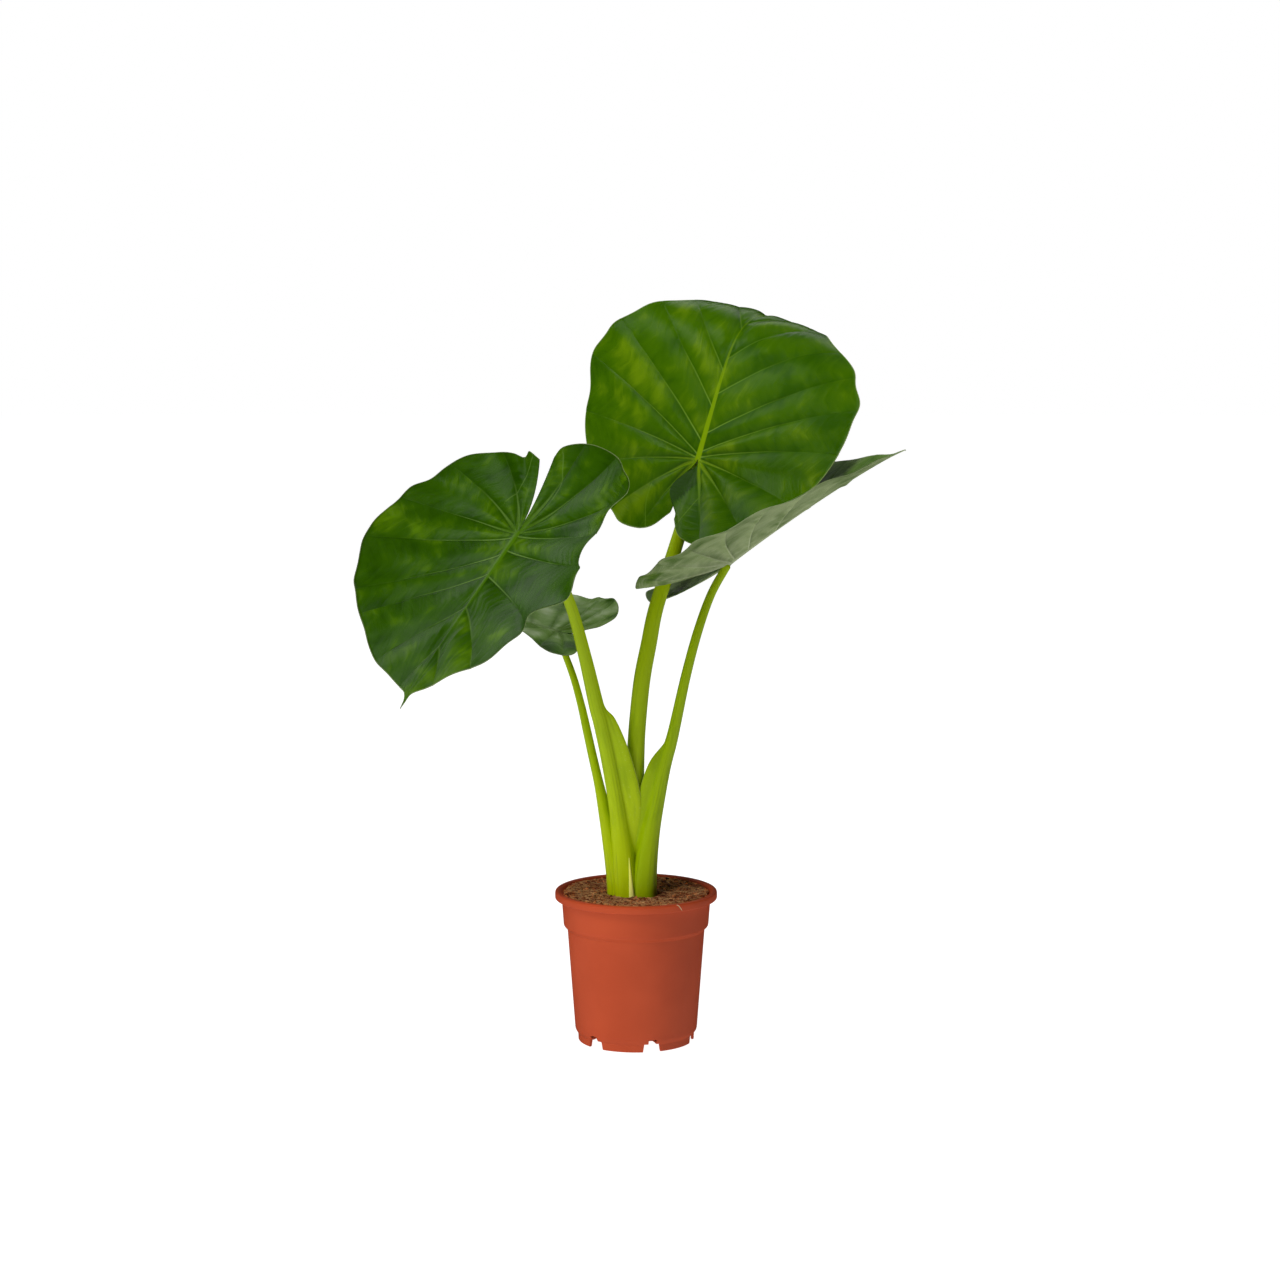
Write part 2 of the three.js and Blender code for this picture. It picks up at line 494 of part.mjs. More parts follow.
// Pot
function potShell() {
  const r = (x) => POT_RIM_RADIUS + x - 85;
  const h = POT_HEIGHT;
  const profile = [
    [0, POT_BASE_UNDERSIDE], [57.4, POT_BASE_UNDERSIDE], [57.9, 0.6], [58.4, 0], [60.3, 0], [POT_FOOT_RADIUS, 0.5],
    [61.1, 7.6], [POT_BOTTOM_RADIUS, 11.8], [POT_WAIST_RADIUS, h - 41.4], [POT_WAIST_RADIUS + 0.6, h - 40.4],
    [75.6, h - 37.2], [76, h - 36], [POT_COLLAR_RADIUS, h - 9.2], [POT_COLLAR_RADIUS + 0.4, h - 8.7], [r(84.2), h - 8.5],
    [r(84.9), h - 7.8], [r(85), h - 3], [r(84.6), h - 1.1], [r(83.2), h - 0.2], [r(81.5), h], [r(79.2), h - 0.5],
    [r(77.8), h - 1.8], [r(77.3), h - 4], [POT_COLLAR_RADIUS - POT_WALL, h - 10], [76 - POT_WALL, h - 35.6],
    [POT_WAIST_RADIUS + 0.4 - POT_WALL, h - 39.6], [POT_WAIST_RADIUS - POT_WALL, h - 41], [POT_BOTTOM_RADIUS - POT_WALL, 12.8],
    [61.4, 11], [0, 10.8],
  ].map(([x, y]) => new THREE.Vector2(x, y));
  const g = new THREE.LatheGeometry(profile, 48);
  g.rotateX(Math.PI / 2);
  let solid = toSolid(orient(g));
  for (let i = 0; i < FOOT_NOTCH_COUNT; i++) {
    const angle = FIRST_NOTCH_DEG + i * 360 / FOOT_NOTCH_COUNT;
    solid = solid.subtract(toSolid(sectorBlock(angle, FOOT_NOTCH_DEG, 50, 66, -2, POT_BASE_UNDERSIDE - 0.4, 1.5)));
    solid = solid.subtract(toSolid(sectorBlock(angle, 8, 50, 66, POT_BASE_UNDERSIDE - 1, 13.5, 0)));
  }
  return toGeometry(solid);
}

// A wedge-shaped block about the pot's axis; flare widens it at the bottom
function sectorBlock(angle, width, inner, outer, low, high, flare) {
  const steps = 4;
  const vertices = [];
  const triangles = [];
  for (let i = 0; i <= steps; i++) {
    for (const z of [low, high]) {
      const w = width + (z === low ? 2 * flare : 0);
      const a = (angle - w / 2 + w * i / steps - 90) * DEG;
      vertices.push([inner * Math.cos(a), inner * Math.sin(a), z], [outer * Math.cos(a), outer * Math.sin(a), z]);
    }
  }
  const at = (i, z, o) => i * 4 + z * 2 + o;
  for (let i = 0; i < steps; i++) {
    triangles.push([at(i, 0, 0), at(i + 1, 0, 1), at(i, 0, 1)], [at(i, 0, 0), at(i + 1, 0, 0), at(i + 1, 0, 1)]);
    triangles.push([at(i, 1, 0), at(i, 1, 1), at(i + 1, 1, 1)], [at(i, 1, 0), at(i + 1, 1, 1), at(i + 1, 1, 0)]);
    triangles.push([at(i, 0, 1), at(i + 1, 0, 1), at(i + 1, 1, 1)], [at(i, 0, 1), at(i + 1, 1, 1), at(i, 1, 1)]);
    triangles.push([at(i, 0, 0), at(i + 1, 1, 0), at(i + 1, 0, 0)], [at(i, 0, 0), at(i, 1, 0), at(i + 1, 1, 0)]);
  }
  triangles.push([at(0, 0, 0), at(0, 0, 1), at(0, 1, 1)], [at(0, 0, 0), at(0, 1, 1), at(0, 1, 0)]);
  const e = steps;
  triangles.push([at(e, 0, 0), at(e, 1, 1), at(e, 0, 1)], [at(e, 0, 0), at(e, 1, 0), at(e, 1, 1)]);
  return orient(fromArrays(vertices, triangles));
}

// Turn a closed surface so that its faces point out
function orient(geometry) {
  let g = geometry.index ? geometry : mergeVertices(geometry, 1e-4);
  for (const name of Object.keys(g.attributes)) if (name !== 'position') g.deleteAttribute(name);
  g = mergeVertices(g, 1e-4);
  const p = g.attributes.position;
  const index = Array.from(g.index.array);
  let volume = 0;
  const kept = [];
  for (let i = 0; i < index.length; i += 3) {
    const [a, b, c] = [index[i], index[i + 1], index[i + 2]];
    if (a === b || b === c || a === c) continue;
    kept.push(a, b, c);
    const va = [p.getX(a), p.getY(a), p.getZ(a)];
    const vb = [p.getX(b), p.getY(b), p.getZ(b)];
    const vc = [p.getX(c), p.getY(c), p.getZ(c)];
    const n = cross(vb, vc);
    volume += va[0] * n[0] + va[1] * n[1] + va[2] * n[2];
  }
  if (volume < 0) for (let i = 0; i < kept.length; i += 3) [kept[i + 1], kept[i + 2]] = [kept[i + 2], kept[i + 1]];
  g.setIndex(kept);
  return g;
}

// Soil: fills the pot, with a lumpy top
function soilHeight(x, y) {
  const r = Math.hypot(x, y) / 76;
  const lumps = 0.9 * Math.sin(x * 0.23 + 1.3) * Math.cos(y * 0.27) + 0.6 * Math.sin(x * 0.51 - y * 0.43)
    + 0.4 * Math.cos(x * 0.83 + y * 0.71);
  return SOIL_EDGE_HEIGHT + SOIL_MOUND * (1 - r * r) + lumps * (1 - 0.5 * r);
}

function soilShell() {
  const segments = 48;
  const clear = 0.5;
  const vertices = [[0, 0, 11.4]];
  const triangles = [];
  const walls = [[60.2, 11.4], [POT_BOTTOM_RADIUS - POT_WALL - clear, 13.6], [POT_WAIST_RADIUS - POT_WALL - clear, POT_HEIGHT - 40.2],
    [76 - POT_WALL - clear, POT_HEIGHT - 34.8], [POT_COLLAR_RADIUS - POT_WALL - clear - 0.2, POT_HEIGHT - 10]];
  const fractions = [0.985, 0.93, 0.84, 0.73, 0.6, 0.46, 0.3, 0.15];
  const rings = [];
  for (const [r, z] of walls) rings.push(Array.from({ length: segments }, (_, i) => {
    const a = 2 * Math.PI * i / segments;
    return [r * Math.cos(a), r * Math.sin(a), z];
  }));
  fractions.forEach((f, k) => rings.push(Array.from({ length: segments }, (_, i) => {
    const a = 2 * Math.PI * (i + 0.5 * (k % 2)) / segments;
    const x = 76 * f * Math.cos(a);
    const y = 76 * f * Math.sin(a);
    return [x, y, soilHeight(x, y)];
  })));
  for (const ring of rings) vertices.push(...ring);
  vertices.push([0, 0, soilHeight(0, 0)]);
  const at = (k, i) => 1 + k * segments + (i % segments);
  for (let i = 0; i < segments; i++) {
    triangles.push([0, at(0, i + 1), at(0, i)]);
    for (let k = 0; k + 1 < rings.length; k++) {
      triangles.push([at(k, i), at(k, i + 1), at(k + 1, i + 1)], [at(k, i), at(k + 1, i + 1), at(k + 1, i)]);
    }
    triangles.push([vertices.length - 1, at(rings.length - 1, i), at(rings.length - 1, i + 1)]);
  }
  return fromArrays(vertices, triangles);
}

// Leaf bases stand in a plain oval hole in the soil
const STEM_HOLE = { x: -4, y: -0.5, halfWidth: 29, halfDepth: 25.5, bottom: STEM_BASE_Z - 1 };
function holeBlock() {
  const g = new THREE.CylinderGeometry(1, 1, 40, 40);
  g.rotateX(Math.PI / 2);
  g.scale(STEM_HOLE.halfWidth, STEM_HOLE.halfDepth, 1);
  g.translate(STEM_HOLE.x, STEM_HOLE.y, STEM_HOLE.bottom + 20);
  return orient(g);
}

// Assembly
const BLADES = { blade_left: LEAF_LEFT, blade_top: LEAF_TOP, blade_right: LEAF_RIGHT, blade_back: LEAF_BACK };
const pieces = {};
pieces.pot = potShell();
pieces.soil = toGeometry(toSolid(orient(soilShell())).subtract(toSolid(holeBlock())));
for (const [name, leaf] of Object.entries(BLADES)) pieces[name] = orient(bladeShell(leaf));

const stalkSolid = (stalk, grow) => toSolid(orient(stalkShell(stalk, grow, stalk.perRow)));
const block = (leaf) => toSolid(orient(junctionBlock(leaf)));
const topSolid = stalkSolid(STALK_TOP, 0);
const topGrown = stalkSolid(STALK_TOP, GAP + 0.1);
const leftSolid = stalkSolid(STALK_LEFT, 0).subtract(topGrown);
const leftGrown = stalkSolid(STALK_LEFT, GAP + 0.1);
const rightSolid = stalkSolid(STALK_RIGHT, 0).subtract(topGrown).subtract(leftGrown);
const rightGrown = stalkSolid(STALK_RIGHT, GAP + 0.1);
const backSolid = stalkSolid(STALK_BACK, 0).subtract(topGrown).subtract(leftGrown).subtract(rightGrown);
const spikeSolid = stalkSolid(CATAPHYLL, 0).subtract(leftGrown).subtract(rightGrown);
pieces.petiole_top = toGeometry(topSolid.subtract(block(LEAF_TOP)));
pieces.petiole_left = toGeometry(leftSolid.subtract(block(LEAF_LEFT)));
pieces.petiole_right = toGeometry(rightSolid.subtract(block(LEAF_RIGHT)));
pieces.petiole_back = toGeometry(backSolid.subtract(block(LEAF_BACK)));
pieces.cataphyll = toGeometry(spikeSolid);

const LOOKS = {
  pot: [0xb9512f, 0.55], soil: [0x6e4128, 0.95], blade_left: [0x2f5a0f, 0.4], blade_top: [0x3a7009, 0.4],
  blade_right: [0x5c7345, 0.45], blade_back: [0x35591c, 0.42], petiole_left: [0x8fa612, 0.42], petiole_top: [0x86a00e, 0.42],
  petiole_right: [0x86a018, 0.42], petiole_back: [0x8ba51a, 0.42], cataphyll: [0xd9dd8c, 0.5],
};
const plant = new THREE.Group();
for (const [name, geometry] of Object.entries(pieces)) {
  const [color, roughness] = LOOKS[name];
  const mesh = new THREE.Mesh(geometry, new THREE.MeshStandardMaterial({ color, roughness, metalness: 0 }));
  mesh.name = name;
  plant.add(mesh);
}
export default plant;
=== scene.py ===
"""Potted night-scented lily (Alocasia odora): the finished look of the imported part.

The leaves, stalks, pot and soil are rebuilt here at full detail from the same named values as the
solids, in millimetres, and turned to metres when their meshes are made.
"""
import math

import bmesh
import bpy
import numpy as np
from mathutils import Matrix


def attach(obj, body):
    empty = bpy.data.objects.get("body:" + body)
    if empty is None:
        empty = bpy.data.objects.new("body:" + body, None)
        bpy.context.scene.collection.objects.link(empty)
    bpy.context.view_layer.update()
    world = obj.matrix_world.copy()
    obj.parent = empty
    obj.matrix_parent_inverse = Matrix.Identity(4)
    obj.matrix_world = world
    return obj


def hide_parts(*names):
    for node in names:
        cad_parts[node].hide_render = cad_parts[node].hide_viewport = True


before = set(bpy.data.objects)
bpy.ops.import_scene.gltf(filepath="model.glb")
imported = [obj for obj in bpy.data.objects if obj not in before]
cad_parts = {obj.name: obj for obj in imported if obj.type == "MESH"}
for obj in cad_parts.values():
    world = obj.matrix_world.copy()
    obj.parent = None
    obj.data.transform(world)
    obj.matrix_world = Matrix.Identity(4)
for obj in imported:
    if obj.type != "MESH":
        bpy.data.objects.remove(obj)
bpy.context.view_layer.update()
MM = 0.001
RNG = np.random.default_rng(7)

# Sizes shared with the solids: mm, or as the name says
POT_RIM_RADIUS = 85.0
POT_HEIGHT = 160.0
POT_COLLAR_RADIUS = 78.0
POT_STEP_RADIUS = 76.0
POT_WAIST_RADIUS = 72.0
POT_BOTTOM_RADIUS = 64.0
POT_FOOT_RADIUS = 60.8
POT_WALL = 1.6
POT_BASE_UNDERSIDE = 9.0
FOOT_NOTCH_COUNT = 6
FOOT_NOTCH_DEG = 16.0
FOOT_NOTCH_FLARE_DEG = 1.5
FIRST_NOTCH_DEG = 16.0
FOOT_CUT_INNER = 50.0
FOOT_CUT_OUTER = 66.0
DRAIN_SLOT_DEG = 8.0
DRAIN_SLOT_TOP = 13.5
SOIL_RADIUS = 76.0
SOIL_EDGE_HEIGHT = 157.0
SOIL_MOUND = -2.2
BLADE_THICKNESS = 0.9
VEIN_GROOVE = 0.5
VEIN_RIDGE = 1.3
MIDRIB_RIDGE = 3.6
WAVE_LENGTH = 62.0
BEND_SOFTNESS = 20.0
BEND_STEPS = 24

# Values of this look alone: mm, or as the name says
MIDRIB_HALF_WIDTH = 4.5
LANE_COLUMNS = (8, 34)
PLEAT_RISE = 2.2
FULL_PLEAT_SPAN = 45.0
QUILT_RISE = 0.2
RIPPLE_RISE = 0.5
CUSHION_RISE = 1.1
TWIG_GROOVE = 0.35
TWIG_RIDGE = 0.5
MIDRIB_TOP_RISE = 0.45
EDGE_THINNING_SHARE = 0.45
EDGE_POINT_SPACING = 26.0
STALK_END_GAP = 3.3
STALK_END_ROUNDING = 3.5
STALK_STRAIGHT_TO = 165.0
STALK_LEAN_OVER = 70.0
WING_WIDTH_RADIANS = 0.24
FLUTE_DEPTH = 0.12
FLUTE_COUNT = 16
SOIL_SKIRT_HEIGHT = 130.0
FIBRE_TOP = 160.5
CRUMB_COUNT = 1300
CRUMB_RADIUS = (0.7, 2.3)
FIBRE_COUNT = 2600
FIBRE_LENGTH = (5, 24)
FIBRE_RADIUS = (0.18, 0.42)
LENS_MM = 95
SENSOR_MM = 36
CAMERA_PLACE_M = (0.0041, -3.473, 0.911)
CAMERA_DOWN_DEG = 7.98
FLOOR_HALF_SIZE = 9000
FLOOR_GAP = 0.3

# Leaf blades. Plan: s runs along the midrib from the junction with the stalk to the tip, t across.
# Each half has its edge from the tip to the inner corner of the basal lobe, its veins as
# (start on midrib, end s, end t), its branches as paths of plan points, and its swells as
# (s, distance from the midrib, radius, height). Spots of painted light and shade: (s, t, radius, how much
# lighter).
HALF_PLAIN = dict(bow=0, lobe_lift=0, notch=0, shade=0, fold_ahead=0, fold_behind=0, swells=(), branches=())
LEAF_LEFT = dict(
    junction=(-120.8, -62, 541.7), heading=-124, rise=-37.5, roll=2.7, length=248, vein_sag=0.045, wave=2.2,
    bend=0, over_from=240, over_to=300, over_bend=0.012, lobe_bend=-0.0058, twist=0.00015, lobe_twist=0,
    light_and_shade_spots=[(19, -152, 19, 0.22), (13, -112, 13, 0.12), (204, 18, 15, 0.2), (189, 42, 13, 0.18),
        (183, -17, 13, 0.12), (102, -111, 21, 0.05), (135, 33, 15, 0.08), (-75, -45, 19, -0.12),
        (-7, -62, 19, -0.1), (46, -58, 25, -0.08), (-67, 83, 17, -0.08), (136, 159, 17, -0.05)],
    left=dict(
        fold=-0.183, droop=-0.0058, lobe_lift=2,
        edge=[(248, 0), (238, 1.4), (229, 4), (219, 14), (206, 31), (191, 53), (174, 75), (158, 91),
            (143, 97), (129, 103), (120, 131), (111, 158), (91, 160), (62, 130), (36, 127), (10, 120),
            (-10, 128), (-26, 150), (-50, 147), (-75, 119), (-94, 93), (-105, 66), (-109, 38), (-105, 20),
            (-94, 9)],
        swells=[(112, 150, 25, -10), (164, 88, 26, -3.5)],
        veins=[(165, 216, 22), (109, 190, 54), (63, 138, 94), (25, 86, 135), (4, 14, 127), (0, -32, 147),
            (0, -92, 98), (0, -106, 46)],
        branches=[[(-46, 22), (-64, 26), (-80, 23), (-98, 20)]]),
    right=dict(
        fold=-0.094, droop=-0.0041,
        edge=[(248, 0), (238, 1.6), (229, 6), (221, 17), (208, 38), (192, 64), (176, 82), (156, 99),
            (133, 120), (116, 132), (100, 143), (80, 149), (52, 159), (30, 161), (10, 157), (-14, 153),
            (-36, 146), (-54, 132), (-72, 119), (-92, 95), (-98, 66), (-97, 44), (-94, 32), (-100, 25),
            (-92, 11)],
        veins=[(160, 224, 22), (107, 189, 71), (60, 138, 116), (30, 113, 136), (6, 46, 157), (0, -20, 152),
            (0, -78, 114), (0, -99, 58)],
        branches=[[(-44, 34), (-58, 25), (-74, 21), (-92, 19)]]))
LEAF_TOP = dict(
    junction=(65.7, 96, 603.9), heading=36.9, rise=70.1, roll=20.5, length=297, vein_sag=-0.02, wave=1.2,
    bend=0, over_from=119, over_to=256, over_bend=0.0173, lobe_bend=-0.0028, twist=0.001, lobe_twist=0.0014,
    light_and_shade_spots=[(91, 115, 38, 0.08), (117, 40, 23, 0.1), (17, 107, 23, 0.06), (-63, 89, 13, 0.3),
        (-57, 61, 13, 0.15), (42, 11, 15, 0.1), (108, -37, 29, -0.08), (88, -97, 32, -0.1),
        (58, -142, 23, -0.12), (-3, -96, 23, -0.14), (-75, -28, 14, -0.1), (139, 125, 23, -0.05),
        (-62, -89, 19, -0.12), (-34, 74, 42, 0.13), (-60, -70, 30, -0.06)],
    left=dict(
        fold=-0.03, droop=0.0013, bow=-5, lobe_lift=-6,
        edge=[(297, 0), (284, 9), (262, 25), (236, 43), (210, 58), (191, 73), (175, 95), (161, 117),
            (148, 134), (133, 152), (118, 161), (100, 173), (80, 173), (56, 169), (32, 167), (4, 162),
            (-20, 152), (-44, 135), (-66, 102), (-78, 82), (-81, 57), (-76, 34), (-61, 17)],
        swells=[(203, 65, 24, -4)],
        veins=[(200, 262, 27), (150, 224, 60), (98, 188, 86), (57, 160, 108), (18, 133, 145), (4, 93, 172),
            (1, 30, 167), (0, -24, 150), (0, -66, 104), (0, -84, 54)],
        branches=[[(-34, 52), (-52, 52), (-66, 50), (-78, 46)]]),
    right=dict(
        fold=0.125, droop=0.0015, bow=24, lobe_lift=13, notch=3, shade=-0.42,
        edge=[(297, 0), (284, 10), (262, 29), (236, 50), (210, 69), (186, 88), (164, 110), (134, 142),
            (112, 152), (92, 164), (70, 163), (44, 162), (18, 158), (-10, 145), (-36, 124), (-62, 104),
            (-84, 86), (-98, 70), (-104, 52), (-99, 33), (-88, 17), (-74, 6)],
        veins=[(205, 268, 24), (158, 232, 58), (112, 196, 88), (72, 158, 119), (28, 122, 148), (8, 86, 163),
            (2, 34, 163), (0, -30, 128), (0, -74, 94), (0, -103, 58)],
        branches=[[(-40, 24), (-58, 20), (-76, 16)]]))
LEAF_RIGHT = dict(
    junction=(98.4, 26, 503.2), heading=-2.3, rise=37, roll=-9.7, length=216, vein_sag=0.035, wave=2.2,
    bend=0.0005, over_from=200, over_to=300, over_bend=0.008, lobe_bend=-0.0041, twist=0.00125,
    lobe_twist=0.0011,
    light_and_shade_spots=[(-82, -61, 16, -0.3), (-46, -92, 14, -0.2), (-9, -114, 13, -0.08), (14, -88, 16, 0.06),
        (41, -47, 17, 0.12), (85, -69, 19, 0.14), (119, 26, 15, 0.04), (-35, -43, 8, 0.16),
        (-62, -66, 8, 0.1), (-72, 66, 34, 0.3), (-40, 60, 26, 0.25)],
    left=dict(
        fold=0.2, droop=0.0015, lobe_lift=-3.5, fold_ahead=0.0011, fold_behind=-0.001,
        edge=[(216, 0), (203, 2.5), (189, 12), (171, 30), (148, 56), (120, 84), (90, 106), (60, 119),
            (30, 127), (0, 128), (-28, 122), (-54, 110), (-78, 92), (-95, 70), (-103, 46), (-98, 24),
            (-82, 10)],
        veins=[(142, 186, 17), (98, 158, 45), (58, 122, 84), (24, 78, 112), (6, 30, 127), (0, -18, 124),
            (0, -66, 102), (0, -98, 42)],
        swells=[(-88, 78, 40, 11), (-72, 20, 26, -3)],
        branches=[[(-50, 22), (-64, 22), (-80, 20)]]),
    right=dict(
        fold=0.293, droop=0.0018, bow=-5,
        edge=[(216, 0), (203, 2.5), (189, 12), (171, 31), (146, 58), (118, 86), (88, 107), (58, 121),
            (28, 130), (0, 134), (-20, 131), (-42, 119), (-62, 99), (-80, 82), (-92, 62), (-101, 43),
            (-97, 36)],
        veins=[(142, 186, 17), (96, 158, 46), (56, 122, 84), (22, 76, 113), (5, 28, 130), (0, -20, 135),
            (0, -64, 102), (0, -94, 58)],
        branches=[[(-50, 40), (-64, 42), (-80, 44)]]))
LEAF_BACK = dict(
    junction=(-85.6, 75, 423.1), heading=159, rise=11.8, roll=-7.7, length=146, vein_sag=0.035, wave=1.5,
    bend=-0.0006, over_from=136, over_to=200, over_bend=0.03, lobe_bend=-0.0018, twist=0.0006,
    lobe_twist=0.003,
    light_and_shade_spots=[(28, -35, 13, 0.22), (32, -4, 8, 0.2), (18, 50, 7, 0.3), (0, 50, 7, 0.16), (-14, 32, 6, 0.1),
        (-20, 66, 13, -0.36), (-37, 41, 10, -0.4), (-1, 71, 6, -0.3), (-26, -57, 10, 0.06),
        (-28, -84, 7, -0.22), (-46, -50, 6, -0.2), (7, -90, 8, -0.06), (-30, -34, 8, 0.05)],
    left=dict(
        fold=0.3, droop=0.0054, bow=12,
        edge=[(146, 0), (136, 1), (127, 3), (111, 8), (92, 15), (70, 25), (46, 38), (22, 51), (-4, 65),
            (-26, 72), (-40, 67), (-46, 51), (-42, 32), (-38, 4)],
        veins=[(92, 118, 6), (60, 96, 14), (30, 66, 28), (8, 26, 49), (0, -12, 68), (0, -38, 67),
            (0, -47, 43)]),
    right=dict(
        fold=0.164, droop=0.0005, bow=7,
        edge=[(146, 0), (136, 3), (127, 10), (112, 25), (94, 43), (72, 64), (46, 82), (24, 89), (8, 94),
            (-4, 94), (-14, 92), (-22, 95), (-34, 83), (-44, 69), (-50, 46), (-42, 31), (-30, 20)],
        veins=[(92, 122, 14), (58, 98, 38), (28, 66, 68), (7, 30, 89), (0, -12, 95), (0, -34, 83),
            (0, -48, 58)]))

# Stalks. Rows: x, y, z of the axis, half width, half depth, reach of the sheath's wing.
STALK_LEFT = dict(wing_at=-12, rows=[
    (-10, -1.5, 141, 13, 20.5, 0), (-10.5, -1.5, 165, 13, 19.5, 0), (-12.6, -1, 191, 12.2, 16.2, 2),
    (-16, -1, 223, 10.6, 12.5, 9.5), (-20.2, -1.5, 255, 9.2, 10, 17), (-28.3, -3, 301, 8.6, 8.6, 14.5),
    (-36, -5, 337, 8.3, 8.3, 8), (-41.3, -7, 357, 7.9, 7.9, 0), (-52.7, -13, 408, 6.8, 6.8, 0),
    (-65.5, -23, 458, 5.9, 5.9, 0), (-81, -37, 497, 5.7, 5.7, 0), (-103, -53, 528, 5.5, 5.5, 0),
    (-122.5, -63, 543, 5.4, 5.4, 0)])
STALK_TOP = dict(wing_at=90, rows=[
    (-3, 6, 141, 11.5, 12.5, 0), (-2.5, 6, 200, 11, 12, 0), (-1.5, 6.5, 255, 10, 10.5, 0),
    (-0.4, 8, 301, 9.2, 9.2, 0), (1.5, 11, 335, 8.9, 8.9, 0), (6.2, 15, 380, 8.7, 8.7, 0),
    (13.2, 20, 417, 8.3, 8.3, 0), (20.8, 26.5, 454, 7.8, 7.8, 0), (37.1, 48, 502.2, 7.4, 7.4, 0),
    (49, 75, 537.3, 7, 7, 0), (58, 100.5, 567, 6.6, 6.6, 0), (63.7, 111.5, 589.7, 6.3, 6.3, 0),
    (65.9, 101, 603.1, 6, 6, 0)])
STALK_RIGHT = dict(wing_at=192, rows=[
    (8, -1.5, 141, 14, 20.5, 0), (8, -1.5, 165, 13.8, 20, 0), (10.3, -1, 191, 12.2, 17.5, 2),
    (14.5, -1, 223, 10.6, 13.5, 7), (21, -1.5, 255, 8.8, 10, 11), (28.5, -1, 290, 7.6, 7.8, 9),
    (36.2, 0, 316, 6.4, 6.4, 0), (41.2, 1, 337, 5.8, 5.8, 0), (51.7, 5, 385, 5.1, 5.1, 0),
    (63.8, 11, 430, 4.7, 4.7, 0), (77.5, 19, 468, 4.3, 4.3, 0), (92, 25.5, 494, 4.2, 4.2, 0),
    (98.8, 26.2, 504, 4.2, 4.2, 0)])
STALK_BACK = dict(wing_at=0, rows=[
    (-17.5, 3, 141, 13, 15, 0), (-18.8, 3, 165, 12, 14.5, 0), (-23, 3.5, 190, 10, 12, 0),
    (-28, 6, 215, 8, 9.5, 0), (-34, 10, 247, 6.4, 6.8, 0), (-39.5, 16, 272, 5, 5, 0),
    (-46.2, 24, 300, 4.6, 4.6, 0), (-52, 32, 325, 4.4, 4.4, 0), (-58, 41, 350, 4, 4, 0),
    (-66, 52, 377, 3.7, 3.7, 0), (-75.5, 63, 401, 3.4, 3.4, 0), (-83.5, 73, 419, 3.3, 3.3, 0),
    (-86, 75.5, 425, 3.3, 3.3, 0)])
CATAPHYLL = dict(wing_at=0, rows=[
    (-4.2, -20.5, 141, 3.2, 3.4, 0), (-4.6, -20.3, 158, 2.8, 3, 0), (-5.6, -19, 172, 1.9, 2.2, 0),
    (-6.6, -17.2, 186, 1, 1.2, 0), (-7.3, -15.8, 197, 0.3, 0.3, 0)])


# Maths
def smooth(x):
    c = np.clip(x, 0, 1)
    return c * c * (3 - 2 * c)


def spline_at(rows, u):
    """Catmull-Rom spline through rows of numbers, at parameters u in [0, rows - 1]."""
    rows = np.asarray(rows, float)
    u = np.atleast_1d(np.asarray(u, float))
    last = len(rows) - 1
    i = np.clip(np.floor(u).astype(int), 0, last - 1)
    t = (u - i)[:, None]
    padded = np.vstack([2 * rows[0] - rows[1], rows, 2 * rows[-1] - rows[-2]])
    p0, p1, p2, p3 = (padded[i + k] for k in range(4))
    return 0.5 * (2 * p1 + (p2 - p0) * t + (2 * p0 - 5 * p1 + 4 * p2 - p3) * t * t
                  + (3 * p1 - p0 - 3 * p2 + p3) * t ** 3)


def half_of(leaf, side):
    return {**HALF_PLAIN, **(leaf["left"] if side > 0 else leaf["right"])}


def place_on_blade(leaf, side, s, out, lift):
    """Points of the plan in space, in mm. out is the distance from the midrib on that side."""
    half = half_of(leaf, side)
    a, p, r = (math.radians(leaf[k]) for k in ("heading", "rise", "roll"))
    along = np.array([math.cos(a) * math.cos(p), math.sin(a) * math.cos(p), math.sin(p)])
    flat = np.array([-math.sin(a), math.cos(a), 0.0])
    up = np.cross(along, flat)
    across = flat * math.cos(r) + up * math.sin(r)
    normal = -flat * math.sin(r) + up * math.cos(r)

    def past(x, start):
        return 0.5 * (np.hypot(x - start, BEND_SOFTNESS) + x - math.hypot(start, BEND_SOFTNESS))

    def turn(x):
        ahead = -(leaf["bend"] * x
                  + leaf["over_bend"] * (past(x, leaf["over_from"]) - past(x, leaf["over_to"])))
        return np.where(x <= 0, -leaf["lobe_bend"] * x, ahead)

    fold = half["fold"] + s * np.where(s > 0, half["fold_ahead"], half["fold_behind"])
    x, y, z, h = (np.zeros_like(s) for _ in range(4))
    for i in range(BEND_STEPS):
        f = (i + 0.5) / BEND_STEPS
        angle = turn(s * f)
        x += np.cos(angle) * s / BEND_STEPS
        z += np.sin(angle) * s / BEND_STEPS
        slope = fold - half["droop"] * np.abs(out) * f
        y += np.cos(slope) * out / BEND_STEPS
        h += np.sin(slope) * out / BEND_STEPS
    slope = (fold - half["droop"] * np.abs(out)) * np.minimum(1, np.abs(out) / 8)
    y = (y - np.sin(slope) * lift) * side
    h = h + np.cos(slope) * lift
    h = h - np.where(s < 0, half["lobe_lift"] * s / 80, 0)
    tw = np.where(s > 0, leaf["twist"], leaf["lobe_twist"]) * s
    y2 = y * np.cos(tw) - h * np.sin(tw)
    h2 = y * np.sin(tw) + h * np.cos(tw)
    b = turn(s)
    px = x - h2 * np.sin(b)
    pz = z + h2 * np.cos(b)
    return (np.array(leaf["junction"]) + px[..., None] * along + y2[..., None] * across
            + pz[..., None] * normal)


